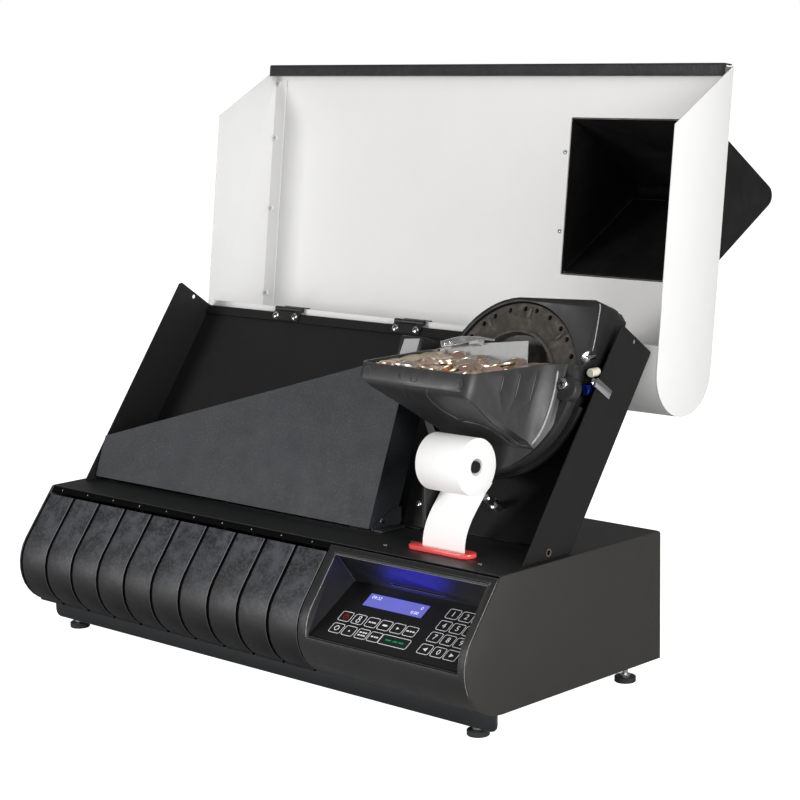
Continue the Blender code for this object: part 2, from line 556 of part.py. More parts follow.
def bowl_front(off):
    """Front view (x, q) with the sloping lower left corner."""
    n = Vector((0.56, 0.83)) * off
    low = [(470.0, 158.3), (482.3, 150.0), (502.0, 136.7), (516.8, 126.7), (537.0, 110.0), (552.0, 92.0)]
    return [(a + n.x, b + n.y) for a, b in low] + [(556.0 + off, 60.0), (700.0, 60.0), (700.0, 240.0), (470.0 + n.x, 240.0)]


def bowl_body(name, off, over, rear):
    body = prism(name, PLAN_S, bowl_plan(off, rear), 60, 235, DARK_PLASTIC, helper=True)
    for o in (prism(name + "_front", SORT, bowl_front(off), -20, 100, DARK_PLASTIC, helper=True), prism(name + "_side", SORT_S, bowl_side(off, over, rear + 0.3), 460, 685, DARK_PLASTIC, helper=True),
              turned(name + "_drum", SORT, RING_X, RING_Q, [(0, rear - 4), (94.0 - off, rear - 4), (94.0 - off, -10.5), (96.5 - off, -7.5), (104.5 - off, 4.0), (109.0 - off, 24.0), (109.0 - off, 110), (0, 110)], DARK_PLASTIC, 56, True)):
        boolean(body, o, "INTERSECT")
    return body


bowl_ob = bowl_body("hopper_bowl", 0.0, 0.0, -14.0)
bowl_ob.hide_render = False
bowl_ob.display_type = "TEXTURED"
cut(bowl_ob, bowl_body("bowl_inside", BW, 6.0, -17.0))
join(bowl_ob, prism("bowl_ring", SORT, arc(RING_X, RING_Q, 98.0, -186, 15, 38) + arc(RING_X, RING_Q, 89.5, 15, -186, 36), -18.4, -10.4, DARK_PLASTIC, helper=True),
     prism("bowl_ring_rear", SORT, arc(RING_X, RING_Q, 93.6, -186, 15, 38) + arc(RING_X, RING_Q, 90.2, 15, -186, 36), -28.2, -18.0, DARK_PLASTIC, helper=True))
for i, (x, y, z, ql) in enumerate(((644.6, 112.0, 318.0, 17.0), (648.4, 132.5, 317.0, 24.0), (652.0, 152.5, 316.5, 30.0))):
    r = Vector((x, y, z)) - SORT.o
    q, e = r.dot(SORT.b), r.dot(SORT.c)
    xs = 648.0 + (12.0 - e) * 0.0 if e < 12 else 643.0 + (40.0 - e) * 5.0 / 28.0 if e < 40 else 634.5 + (80.0 - e) * 8.5 / 40.0
    join(bowl_ob, block(f"bowl_rib_{i}", SORT_S, q - ql, q, e - 0.8, e + 0.8, xs - 1.6, xs + 1.0, DARK_PLASTIC, True))
lug = turned("bowl_lug", SORT, 671.0, 175.5, [(0, -17.4), (12.6, -17.4), (12.6, -8.5), (11.6, -7.5), (0, -7.5)], DARK_PLASTIC, 24, True)
bolt = turned("bowl_bolt", SORT, 667.4, 179.6, [(0, -10), (5.6, -10), (5.6, -5.2), (5.0, -4.4), (0, -4.4)], ZINC, 12, True)
join(bowl_ob, lug, bolt)

baffle = prism("coin_baffle", SORT, [(512, 150), (613, 164), (599, 221.8), (504.5, 209.5), (499.5, 207.9), (463, 198.6), (463, 191.5), (510, 191.5)], -21.0, -19.6, STEEL)
join(baffle, prism("baffle_arm", SORT, [(494.0, 203.5), (513.3, 207.1), (543.7, 216.0), (562.7, 216.2), (562.9, 217.6), (543.1, 218.8), (518.6, 217.4), (506.8, 214.6), (490.8, 209.4)], -10.9, -9.6, STEEL, helper=True),
     prism("baffle_spacer", SORT, [(530, 209.6), (541, 211.6), (541, 217.2), (530, 216.6)], -20.6, -10.2, STEEL, helper=True))

# latch of the hopper unit at the right wall: knob and bush lie front to back
DEEP = Frame((0, 0, 0), (0, 0, 1), (1, 0, 0), (0, 1, 0))       # a = z, b = x, c = y
KX, KZ = 675.5, 296.4
grip = turned("latch_knob", DEEP, KZ, KX, [(0, 193.0), (5.2, 193.0), (6.2, 194.0), (6.2, 203.0), (6.6, 203.4), (6.6, 207.4), (5.8, 208.0), (0, 208.0)], BLUE, 24)
carry(pivot("knob_axis", (KX, 200, KZ)), grip)
bush = turned("latch_bush", DEEP, 313.2, 677.4, [(0, 201.0), (4.0, 201.0), (4.4, 201.6), (4.4, 212.6), (4.0, 213.2), (0, 213.2)], CREAM, 20)
hook = block("latch_hook", BODY, 156.4, 166.0, 35.2, 63.0, 685.1, 686.5, STEEL)
join(hook, block("latch_bridge", BODY, 157.0, 165.4, 59.4, 60.9, 682.4, 686.0, STEEL, True),
     block("latch_nib", BODY, 158.0, 164.4, 60.1, 66.6, 682.2, 683.8, STEEL, True))
WX, WY0, WZ = 677.6, 190.5, 329.0
wing = turned("wing_screw", DEEP, WZ, WX, [(0, WY0), (3.4, WY0), (4.2, WY0 + 0.8), (4.2, WY0 + 5.2), (2.6, WY0 + 5.8), (2.6, WY0 + 17), (0, WY0 + 17)], ZINC, 16)
join(wing, prism("wing_blade", DEEP, [(WZ - 7.5, WX - 4.6), (WZ - 3.2, WX + 3.0), (WZ + 1.4, WX + 2.6), (WZ + 7.8, WX + 5.2), (WZ + 4.4, WX - 3.4), (WZ - 2.6, WX - 3.2)], WY0 + 1.6, WY0 + 4.0, ZINC, helper=True))
carry(pivot("wing_axis", (WX, WY0 + 3, WZ)), wing)
stud = turned("panel_stud", Frame(BODY.at(0, 0, 0), (1, 0, 0), BODY.a, BODY.b), 574.0, 35.4, [(0, 0.4), (5.6, 0.4), (5.6, 8.0), (4.2, 9.0), (3.2, 9.2), (3.2, 14.0), (4.6, 14.4), (4.6, 22.6), (3.6, 24.0), (0, 24.0)], ZINC, 20)

# ================================================================== lid
PIN = LID.at(0, PIN_N, 0)              # hinge axis, along x


def lid_profile(inset=0.0, u_end=L_LID, n_arc=14):
    """Path (u, n) of the sheet's outer face: lip, curl, main panel."""
    r = T_LID / 2 - inset
    c = (-A_CURL, -T_LID / 2)
    pts = [(1.8, -inset), (-A_CURL, -inset)]
    pts += [(c[0] - r * sn(math.pi * i / n_arc), c[1] + r * cs(math.pi * i / n_arc)) for i in range(1, n_arc)]
    pts += [(-A_CURL, -T_LID + inset), (u_end, -T_LID + inset)]
    return pts


sheet_out = lid_profile(0.0)
sheet_in = lid_profile(SHEET, L_LID - SHEET)
flange_in = [(L_LID - SHEET, -T_LID + 11.0), (L_LID, -T_LID + 11.0)]
lid_shell = prism("lid_shell", LID, sheet_out + flange_in[::-1] + sheet_in[::-1], LX0 + 1.9, LX1 - 1.9, WHITE_COAT)
HX0, HX1, HU0, HU1 = 480.5, 666.0, 65.0, 240.0
cut(lid_shell, block("hood_hole", LID, HU0, HU1, -T_LID - 4, -T_LID + 4, HX0, HX1, WHITE_COAT, True))

U_FREE = L_LID - T_LID * math.tan(LEAN)


def lid_side(name, x0, x1, fx0, fx1):
    r = T_LID / 2
    c = (-A_CURL, -T_LID / 2)
    out = [(U_FREE, 0.0), (-A_CURL, 0.0)]
    out += [(c[0] - r * sn(math.pi * i / 16), c[1] + r * cs(math.pi * i / 16)) for i in range(1, 16)]
    out += [(-A_CURL, -T_LID), (L_LID - 1.2, -T_LID), (L_LID, -T_LID + 1.0)]
    ob = prism(name, LID, out, x0, x1, WHITE_COAT)
    return join(ob, block(name + "_tab", LID, -18, L_LID - 16, -T_LID + 1.8, -T_LID + 3.2, fx0, fx1, WHITE_COAT, True))


lid_l = lid_side("lid_left_plate", LX0, LX0 + SHEET, LX0 + 0.6, LX0 + 20)
lid_r = lid_side("lid_right_plate", LX1 - SHEET, LX1, LX1 - 20, LX1 - 0.6)
trim = prism("edge_trim", LID, [(284.5, -79.2), (286, -78.4), (296.6, -78.4), (298.0, -79.8), (298.0, -T_LID + 0.4), (L_LID + 0.35, -T_LID + 0.4), (L_LID + 0.35, -T_LID + 11.4), (284.5, -T_LID + 11.4)],
             LX0 + 2.2, LX1 - 2.2, RUBBER)

# hood on the panel over the bowl, with its pouring flap
NB = -T_LID - 0.35
TIP = Vector((168.0, -234.0))
b0, b2 = Vector((HU0, NB)), Vector((HU1, NB))


def hood_outline(off):
    """Triangle base-low, tip, base-high with a rounded tip, moved inwards by off."""
    d1 = (TIP - b0).normalized()
    d2 = (b2 - TIP).normalized()
    n1 = Vector((d1.y, -d1.x))
    n2 = Vector((d2.y, -d2.x))
    if (b2 - b0).dot(n1) < 0:
        n1 = -n1
    if (b0 - b2).dot(n2) < 0:
        n2 = -n2
    r = 12.0
    # centre of the tip's round: at distance r from both legs
    den = n1.x * n2.y - n1.y * n2.x
    k1 = n1.dot(b0) + r
    k2 = n2.dot(b2) + r
    c = Vector(((k1 * n2.y - n1.y * k2) / den, (n1.x * k2 - k1 * n2.x) / den))
    a1 = math.atan2(-n1.y, -n1.x)
    a2 = math.atan2(-n2.y, -n2.x)
    if a2 - a1 > math.pi:
        a2 -= 2 * math.pi
    if a1 - a2 > math.pi:
        a1 -= 2 * math.pi
    rr = r - off
    roundp = [(c.x + rr * cs(a1 + (a2 - a1) * i / 6), c.y + rr * sn(a1 + (a2 - a1) * i / 6)) for i in range(7)]
    s0 = b0 + n1 * off
    s2 = b2 + n2 * off
    return [tuple(s0)] + roundp + [tuple(s2)], d1, n1, c


ho, hd1, hn1, hc = hood_outline(0.0)
hi, _, _, _ = hood_outline(1.5)
hood = prism("inlet_hood", LID, ho, HX0, HX1, BLACK_COAT)
inner = [(hi[0][0], NB + 6)] + hi + [(hi[-1][0], NB + 6)]
leg = (hc - b0).dot(hd1)
mouth0 = b0 + hd1 * 3.0
mouth1 = b0 + hd1 * (leg - 2.0)
cut(hood, prism("hood_inside", LID, inner, HX0 + 1.0, HX1 - 1.5, BLACK_COAT, helper=True),
    prism("hood_mouth", LID, [tuple(mouth0 - hn1 * 6), tuple(mouth1 - hn1 * 6), tuple(mouth1 + hn1 * 14), tuple(mouth0 + hn1 * 4)], HX0 + 1.0, HX1 - 1.5, BLACK_COAT, helper=True))
join(hood, block("hood_ear_left", LID, HU0, HU1, NB - SHEET, NB, HX0 - 13, HX0 + 1, BLACK_COAT, True),
     block("hood_ear_right", LID, HU0, HU1, NB - SHEET, NB, HX1 - 1, HX1 + 13, BLACK_COAT, True))
f0 = b0 + hd1 * 4.4
f1 = b0 + hd1 * (leg - 3.2)
flap = prism("hood_flap", LID, [tuple(f0 + hn1 * 0.2), tuple(f1 + hn1 * 0.2), tuple(f1 + hn1 * 1.6), tuple(f0 + hn1 * 1.6)], HX0 + 2.1, HX1 - 2.1, BLACK_COAT)
FLAP_AXIS = LID.at(*tuple(f0 + hn1 * 0.2), 0)

# hinges: leaf and pin on the frame, strap on the lid
HINGE_X = (150.4, 346.6, 542.8)
leaves, straps = [], []
for i, hx in enumerate(HINGE_X):
    lf = block(f"hinge_leaf_{i + 1}", BODY, 219.5, 231.0, 2.8, 4.2, hx - 22, hx + 22, BLACK_COAT)
    pv = PIN - BODY.o
    ps, pd = pv.dot(BODY.a), pv.dot(BODY.b)
    for j, (xa, xb) in enumerate(((hx - 22, hx - 12), (hx + 12, hx + 22))):
        join(lf, turned(f"leaf_knuckle_{i}_{j}", BODY, ps, pd, [(0, xa), (3.0, xa), (3.0, xb), (0, xb)], BLACK_COAT, 16, True),
             block(f"leaf_lug_{i}_{j}", BODY, 230.2, 233.4, 2.9, 4.1, xa + 0.1, xb - 0.1, BLACK_COAT, True))
    join(lf, turned(f"leaf_pin_{i}", BODY, ps, pd, [(0, hx - 20), (1.5, hx - 20), (1.5, hx + 20), (0, hx + 20)], BLACK_COAT, 12, True))
    for j, sx in enumerate((hx - 15.8, hx + 15.8)):
        join(lf, turned(f"leaf_screw_{i}_{j}", Frame(BODY.o, BODY.c, BODY.a, BODY.b), sx, 224.6, [(0, 3.5), (4.0, 3.5), (3.4, 5.6), (1.8, 6.4), (0, 6.4)], ZINC, 12, True))
    leaves.append(lf)
    st = turned(f"hinge_strap_{i + 1}", LID, 0, PIN_N, [(0, hx - 11.6), (3.0, hx - 11.6), (3.0, hx + 11.6), (0, hx + 11.6)], BLACK_COAT, 16)
    join(st, block(f"strap_plate_{i}", LID, -19.0, 3.4, 0.35, 1.65, hx - 11, hx + 11, BLACK_COAT, True),
         block(f"strap_cap_{i}", LID, 2.2, 3.7, -2.6, 1.4, hx - 11.2, hx + 28, BLACK_COAT, True))
    cut(st, turned(f"strap_bore_{i}", LID, 0, PIN_N, [(0, hx - 20), (1.62, hx - 20), (1.62, hx + 20), (0, hx + 20)], BLACK_COAT, 16, True))
    straps.append(st)

lid_axis = pivot("lid_axis", (X_MID, PIN.y, PIN.z))
carry(lid_axis, lid_shell, lid_l, lid_r, trim, hood, *straps)
carry(pivot("flap_axis", (575, FLAP_AXIS.y, FLAP_AXIS.z)), flap)

# ================================================================== electrics
inlet = block("power_inlet", FRONT, 592, 648, 30, 86, D + 0.3, D + 2.6, DARK_PLASTIC)
join(inlet, block("inlet_body", FRONT, 597.5, 642.5, 35.5, 80.5, D - 24, D + 1.0, DARK_PLASTIC, True))
cut(inlet, block("inlet_socket", FRONT, 606, 634, 40, 56, D - 16, D + 8, DARK_PLASTIC, True),
    block("rocker_well", FRONT, 609, 631, 62, 77, D - 12, D + 8, DARK_PLASTIC, True))
RKY, RKZ = D - 2.0, 69.5
rocker = prism("power_rocker", SIDE, [(RKY - 5, RKZ - 5.5), (RKY + 4.6, RKZ - 6.6), (RKY + 3.2, RKZ), (RKY + 6.4, RKZ + 6.2), (RKY - 4, RKZ + 6.0)], 610, 630, DARK_PLASTIC)
carry(pivot("rocker_axis", (620, RKY, RKZ)), rocker)

board = block("control_board", PLAN, 476, 676, 150, 262, 14.0, 15.6, GREEN)
for i, (a0, a1, b0_, b1_, c1_) in enumerate(((490, 560, 170, 215, 52), (580, 610, 160, 190, 34), (630, 665, 200, 240, 40), (500, 540, 228, 252, 30))):
    join(board, block(f"board_part_{i}", PLAN, a0, a1, b0_, b1_, 15.0, c1_, DARK_PLASTIC, True))
for i, (x, y) in enumerate(((484, 156), (668, 156), (484, 256), (668, 256))):
    join(board, turned(f"board_post_{i}", PLAN, x, y, [(0, 1.9), (3, 1.9), (3, 15), (0, 15)], ZINC, 8, True))
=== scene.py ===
import math
import random

import bmesh
import bpy
from mathutils import Matrix, Vector


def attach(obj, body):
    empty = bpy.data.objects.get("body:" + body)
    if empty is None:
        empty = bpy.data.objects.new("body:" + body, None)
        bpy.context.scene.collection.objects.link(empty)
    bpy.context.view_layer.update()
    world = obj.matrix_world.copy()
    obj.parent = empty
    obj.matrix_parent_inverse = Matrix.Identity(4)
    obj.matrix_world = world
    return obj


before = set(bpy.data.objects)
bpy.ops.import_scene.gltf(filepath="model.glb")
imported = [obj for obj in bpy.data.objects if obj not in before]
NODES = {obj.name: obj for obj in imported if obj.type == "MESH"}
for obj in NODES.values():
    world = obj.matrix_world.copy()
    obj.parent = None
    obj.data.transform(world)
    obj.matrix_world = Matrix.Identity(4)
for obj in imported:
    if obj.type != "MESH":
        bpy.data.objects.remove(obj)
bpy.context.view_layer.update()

scene = bpy.context.scene
col = scene.collection

# ------------------------------------------------------------------ frames, as in the CAD source (mm)
X_MID, Y_MID, FLOOR = 346.6, 264.58, -29.0
LEAN, TILT, OPEN_LEAN, FL_T = (math.radians(a) for a in (35.5, 21.5, 6.94, 32.0))
PHI = math.radians(37.34)
W, D, H = 693.2, 297.8, 137.0
T_LID, L_LID, A_CURL = 95.0, 296.0, 25.0


def P(v):
    return Vector(((v[0] - X_MID) / 1000, (v[1] - Y_MID) / 1000, (v[2] - FLOOR) / 1000))


class Frame:
    def __init__(self, origin, a, b, c):
        self.o, self.a, self.b, self.c = (Vector(v) for v in (origin, a, b, c))

    def at(self, a, b, c):
        return self.o + self.a * a + self.b * b + self.c * c


def sn(t):
    return math.sin(t)


def cs(t):
    return math.cos(t)


SIDE = Frame((0, 0, 0), (0, 1, 0), (0, 0, 1), (1, 0, 0))
PLAN = Frame((0, 0, 0), (1, 0, 0), (0, 1, 0), (0, 0, 1))
FRONT = Frame((0, 0, 0), (1, 0, 0), (0, 0, 1), (0, -1, 0))
BODY = Frame((0, 157.6, H), (0, sn(LEAN), cs(LEAN)), (0, -cs(LEAN), sn(LEAN)), (1, 0, 0))
BODY_X = Frame(BODY.o, (1, 0, 0), BODY.a, BODY.b)          # a = x, b = s, c = d
SORT = Frame((0, 98.5, 140.4), (1, 0, 0), (0, sn(TILT), cs(TILT)), (0, -cs(TILT), sn(TILT)))
LID = Frame((0, 295.4, 329.1), (0, sn(OPEN_LEAN), cs(OPEN_LEAN)), (0, -cs(OPEN_LEAN), sn(OPEN_LEAN)), (1, 0, 0))
LID_X = Frame(LID.o, (1, 0, 0), LID.a, LID.b)              # a = x, b = u, c = n
FLOORF = Frame((0, -5.6, 50.0), (1, 0, 0), (0, cs(FL_T), sn(FL_T)), (0, -sn(FL_T), cs(FL_T)))
DISC_X, DISC_Q = 578.0, 178.0


# ------------------------------------------------------------------ camera
def make_camera():
    cam = bpy.data.cameras.new("camera")
    ob = bpy.data.objects.new("camera", cam)
    col.objects.link(ob)
    yaw, pitch, roll = (math.radians(a) for a in (43.5354, 9.6420, -1.0148))
    fwd = Vector((-sn(yaw) * cs(pitch), cs(yaw) * cs(pitch), -sn(pitch)))
    right = fwd.cross(Vector((0, 0, 1))).normalized()
    up = right.cross(fwd)
    r2 = right * cs(roll) + up * sn(roll)
    u2 = up * cs(roll) - right * sn(roll)
    m = Matrix((r2, u2, -fwd)).transposed().to_4x4()
    m.translation = P((2020.886, -1493.192, 648.699))
    ob.matrix_world = m
    cam.sensor_width = 36.0
    cam.lens = 2181.10 * 36 / 800
    cam.shift_x, cam.shift_y = (400 - 397.51) / 800, (406.42 - 400) / 800
    cam.clip_start, cam.clip_end = 0.1, 60
    scene.camera = ob


make_camera()


# ------------------------------------------------------------------ materials
class Mat:
    """A node material with a Principled BSDF and helpers that add procedural detail."""

    def __init__(self, name, colour, rough=0.5, metal=0.0, spec=0.5):
        self.m = bpy.data.materials.new(name)
        self.m.use_nodes = True
        self.t = self.m.node_tree
        self.b = self.t.nodes["Principled BSDF"]
        self.colour = tuple(colour)
        self.b.inputs["Base Color"].default_value = (*colour, 1)
        self.b.inputs["Roughness"].default_value = rough
        self.b.inputs["Metallic"].default_value = metal
        self.b.inputs["Specular IOR Level"].default_value = spec
        self.rough = rough
        self.co = self.n("ShaderNodeTexCoord").outputs["Object"]
        self.height = None
        self.cout = None
        self.rout = None
        self.m.diffuse_color = (*colour, 1)

    def n(self, kind, **props):
        node = self.t.nodes.new(kind)
        for k, v in props.items():
            setattr(node, k, v)
        return node

    def link(self, a, b):
        self.t.links.new(a, b)

    def mapped(self, scale=(1, 1, 1), rot=(0, 0, 0), loc=(0, 0, 0)):
        mp = self.n("ShaderNodeMapping")
        mp.inputs["Scale"].default_value = scale
        mp.inputs["Rotation"].default_value = rot
        mp.inputs["Location"].default_value = loc
        self.link(self.co, mp.inputs["Vector"])
        return mp.outputs["Vector"]

    def noise(self, scale, detail=2.0, rough=0.5, vec=None, dist=0.0):
        n = self.n("ShaderNodeTexNoise")
        n.inputs["Scale"].default_value = scale
        n.inputs["Detail"].default_value = detail
        n.inputs["Roughness"].default_value = rough
        n.inputs["Distortion"].default_value = dist
        self.link(vec or self.co, n.inputs["Vector"])
        return n.outputs["Fac"]

    def voronoi(self, scale, vec=None, feature="F1", out="Distance"):
        n = self.n("ShaderNodeTexVoronoi", feature=feature)
        n.inputs["Scale"].default_value = scale
        self.link(vec or self.co, n.inputs["Vector"])
        return n.outputs[out]

    def wave(self, scale, vec=None, dist=0.0, kind="BANDS", direction="X", profile="SIN", dscale=1.0):
        n = self.n("ShaderNodeTexWave", wave_type=kind, wave_profile=profile)
        if kind == "BANDS":
            n.bands_direction = direction
        else:
            n.rings_direction = direction
        n.inputs["Scale"].default_value = scale
        n.inputs["Distortion"].default_value = dist
        n.inputs["Detail Scale"].default_value = dscale
        self.link(vec or self.co, n.inputs["Vector"])
        return n.outputs["Fac"]

    def ramp(self, fac, lo, hi, c0=0.0, c1=1.0):
        n = self.n("ShaderNodeMapRange")
        n.inputs["From Min"].default_value = lo
        n.inputs["From Max"].default_value = hi
        n.inputs["To Min"].default_value = c0
        n.inputs["To Max"].default_value = c1
        self.link(fac, n.inputs["Value"])
        return n.outputs["Result"]

    def math(self, op, a, b=None, val=None):
        n = self.n("ShaderNodeMath", operation=op)
        self.link(a, n.inputs[0])
        if b is not None:
            self.link(b, n.inputs[1])
        elif val is not None:
            n.inputs[1].default_value = val
        return n.outputs[0]

    def tint(self, fac, colour, amount=1.0):
        """Mixes colour over what is there by fac * amount."""
        n = self.n("ShaderNodeMix", data_type="RGBA")
        if self.cout is None:
            n.inputs[6].default_value = (*self.colour, 1)
        else:
            self.link(self.cout, n.inputs[6])
        n.inputs[7].default_value = (*colour, 1)
        self.link(fac if amount == 1.0 else self.math("MULTIPLY", fac, val=amount), n.inputs[0])
        self.cout = n.outputs[2]
        self.link(self.cout, self.b.inputs["Base Color"])
        return self

    def vary_rough(self, fac, lo, hi):
        self.rout = self.ramp(fac, 0.25, 0.75, lo, hi)
        self.link(self.rout, self.b.inputs["Roughness"])
        return self

    def bump(self, fac, strength, distance):
        b = self.n("ShaderNodeBump")
        b.inputs["Strength"].default_value = strength
        b.inputs["Distance"].default_value = distance
        self.link(fac, b.inputs["Height"])
        if self.height is not None:
            self.link(self.height, b.inputs["Normal"])
        self.height = b.outputs["Normal"]
        self.link(self.height, self.b.inputs["Normal"])
        return self


def painted_edge_highlight(m, colour, amount, radius=0.7):
    """Painted highlight on edges: lighter where the surface turns within radius mm."""
    bv = m.n("ShaderNodeBevel", samples=4)
    bv.inputs["Radius"].default_value = radius / 1000
    geo = m.n("ShaderNodeNewGeometry")
    dot = m.n("ShaderNodeVectorMath", operation="DOT_PRODUCT")
    m.link(geo.outputs["Normal"], dot.inputs[0])
    m.link(bv.outputs["Normal"], dot.inputs[1])
    m.tint(m.ramp(dot.outputs["Value"], 0.985, 0.90), colour, amount)
    return m


def by_axis(m, axis, lo, hi):
    """0 to 1 along a world axis (0, 1, 2), in metres."""
    sep = m.n("ShaderNodeSeparateXYZ")
    m.link(m.co, sep.inputs[0])
    return m.ramp(sep.outputs[axis], lo, hi)


def coat(name, colour, rough, grain=1100, depth=0.00006, speck=None, speck_amount=0.5, spec=0.5, smudge=0.06, cloud=1.3, cloud_amount=0.6):
    m = Mat(name, colour, rough, spec=spec)
    m.bump(m.noise(grain, 2.0, 0.55), 0.55, depth)
    big = m.noise(7.0, 3.0, 0.6)
    m.vary_rough(big, rough - smudge, rough + smudge)
    m.tint(m.ramp(m.noise(23.0, 4.0, 0.6), 0.42, 0.75), tuple(c * cloud for c in colour), cloud_amount)
    if speck:
        m.tint(m.ramp(m.noise(grain * 0.8, 1.0, 0.5), 0.62, 0.75), speck, speck_amount)
    return m


BLACK = coat("black_powder_coat", (0.0120, 0.0118, 0.0120), 0.46, 1300, 0.00006, (0.040, 0.039, 0.038), 0.35)
SIDE_BLACK = coat("side_powder_coat", (0.0270, 0.0258, 0.0240), 0.52, 1300, 0.00006, (0.060, 0.058, 0.054), 0.35, cloud=1.12)
WHITE = coat("white_powder_coat", (0.81, 0.81, 0.802), 0.46, 1300, 0.00005, (0.70, 0.70, 0.692), 0.25, smudge=0.03, cloud=0.975, cloud_amount=0.5)
RAIL = coat("rail_powder_coat", (0.0135, 0.0150, 0.0172), 0.50, 1300, 0.00006, (0.034, 0.037, 0.040), 0.35, spec=0.30)
# painted highlight along the rail's edges
painted_edge_highlight(RAIL, (0.20, 0.21, 0.22), 0.7, 0.9)
FRAME_BLACK = coat("frame_powder_coat", (0.0088, 0.0087, 0.0091), 0.54, 900, 0.00009, (0.030, 0.030, 0.031), 0.4, spec=0.3)


def leather(name, colour, light, rough=0.5, scale=620, streak=False):
    m = Mat(name, colour, rough)
    v = m.voronoi(scale, feature="DISTANCE_TO_EDGE")
    cell = m.ramp(v, 0.0, 0.25)
    m.bump(cell, 0.55, 0.00012)
    m.bump(m.noise(scale * 2.6, 2.0), 0.3, 0.00005)
    m.tint(m.ramp(m.noise(scale * 0.9, 2.0, 0.6), 0.5, 0.72), light, 0.55)
    m.tint(m.ramp(m.noise(9.0, 3.0, 0.6), 0.42, 0.7), tuple(c * 1.5 for c in colour), 0.5)
    m.vary_rough(m.noise(40.0, 3.0, 0.6), rough - 0.07, rough + 0.08)
    return m


COVER = leather("blue_grey_grained_coat", (0.0192, 0.0245, 0.0278), (0.076, 0.089, 0.098), 0.55, 640)
DRAWER = leather("drawer_moulded_plastic", (0.0150, 0.0152, 0.0163), (0.034, 0.036, 0.041), 0.50, 820)
# painted sheen: a bluish, mottled lighter tone on the upper part of the fronts, and fine grain mottling shown only
# there, stand for a reflection
DRAWER.tint(DRAWER.math("MULTIPLY", by_axis(DRAWER, 2, 0.075, 0.150), DRAWER.ramp(DRAWER.noise(52.0, 4.0, 0.65), 0.43, 0.60)), (0.085, 0.092, 0.112), 0.82)
DRAWER.tint(DRAWER.math("MULTIPLY", by_axis(DRAWER, 2, 0.070, 0.120), DRAWER.ramp(DRAWER.noise(330.0, 2.0, 0.6), 0.48, 0.62)), (0.082, 0.086, 0.098), 0.60)
# painted shade: the lower part of the fronts darker
DRAWER.tint(by_axis(DRAWER, 2, 0.092, 0.058), (0.0056, 0.0054, 0.0054), 0.80)
# painted highlight along the drawers' edges
painted_edge_highlight(DRAWER, (0.17, 0.17, 0.18), 0.75, 0.8)
PITCH = 46.15


def drawer_edges(m):
    """Each front: painted shade, near black, beside the gap at its left and on its sides, and a painted highlight line
    at its right, brighter on the upper part.
    """
    sep = m.n("ShaderNodeSeparateXYZ")
    m.link(m.co, sep.inputs[0])
    shifted = m.math("ADD", sep.outputs[0], val=(X_MID - 2.3) / 1000)
    along = m.math("MODULO", shifted, val=PITCH / 1000)
    upper = by_axis(m, 2, 0.085, 0.115)
    left = m.ramp(along, 0.0040, 0.0033)
    # painted shade beside the gap
    m.tint(left, (0.0012, 0.0012, 0.0013), 0.95)
    right = m.ramp(along, (PITCH - 2.6) / 1000, (PITCH - 1.9) / 1000)
    front = m.ramp(m.math("ABSOLUTE", facing(m)), 0.5, 0.3)
    line = m.math("MULTIPLY", right, front)
    # painted highlight line at the right edge, brighter on the upper part
    m.tint(m.math("MULTIPLY", line, upper), (0.22, 0.22, 0.235), 0.85)
    m.tint(line, (0.075, 0.075, 0.078), 0.5)
    side = m.ramp(m.math("ABSOLUTE", facing(m)), 0.6, 0.9)
    # painted shade on the drawers' sides
    m.tint(side, (0.0012, 0.0012, 0.0013), 0.95)
    shine = m.math("MULTIPLY", m.ramp(left, 0.0, 1.0, 1.0, 0.02), m.ramp(side, 0.0, 1.0, 1.0, 0.02))
    low = m.ramp(by_axis(m, 2, 0.090, 0.056), 0.0, 1.0, 0.5, 0.27)
    m.link(m.math("MULTIPLY", shine, low), m.b.inputs["Specular IOR Level"])


def facing(m):
    geo = m.n("ShaderNodeNewGeometry")
    sep = m.n("ShaderNodeSeparateXYZ")
    m.link(geo.outputs["True Normal"], sep.inputs[0])
    return sep.outputs[0]


drawer_edges(DRAWER)
HOUSING = leather("control_moulded_plastic", (0.0125, 0.0123, 0.0122), (0.032, 0.031, 0.031), 0.43, 950)
HOUSING.b.inputs["Specular IOR Level"].default_value = 0.44
# painted highlight along the housing's edges
painted_edge_highlight(HOUSING, (0.26, 0.26, 0.27), 0.8, 0.8)
# painted shade: the top plate is darker to the left, where the cover shades it, and on its folded lip
TOP_BLACK = coat("top_powder_coat", (0.0125, 0.0123, 0.0124), 0.46, 1300, 0.00006, (0.040, 0.039, 0.038), 0.35)
TOP_BLACK.tint(by_axis(TOP_BLACK, 0, 0.10, -0.06), (0.0045, 0.0045, 0.0050), 0.85)
TOP_BLACK.tint(by_axis(TOP_BLACK, 2, 0.16560, 0.16535), (0.0014, 0.0014, 0.0016), 0.95)
TOP_BLACK.link(TOP_BLACK.ramp(by_axis(TOP_BLACK, 2, 0.16535, 0.16560), 0.0, 1.0, 0.06, 0.5), TOP_BLACK.b.inputs["Specular IOR Level"])


def plastic(name, colour, rough, scuff=None, scuff_amount=0.5, grain=700, depth=0.00004, spec=0.5):
    m = Mat(name, colour, rough, spec=spec)
    m.bump(m.noise(grain, 3.0), 0.4, depth)
    if scuff:
        streaks = m.noise(38.0, 6.0, 0.75, vec=m.mapped((1, 1, 0.35), (0.3, 0.2, 0.4)), dist=1.2)
        m.tint(m.ramp(streaks, 0.5, 0.78), scuff, scuff_amount)
        m.tint(m.ramp(m.noise(210.0, 4.0, 0.7), 0.6, 0.8), tuple(min(1, c * 1.5) for c in scuff), scuff_amount * 0.6)
    m.vary_rough(m.noise(30.0, 4.0, 0.65), rough - 0.08, rough + 0.1)
    return m


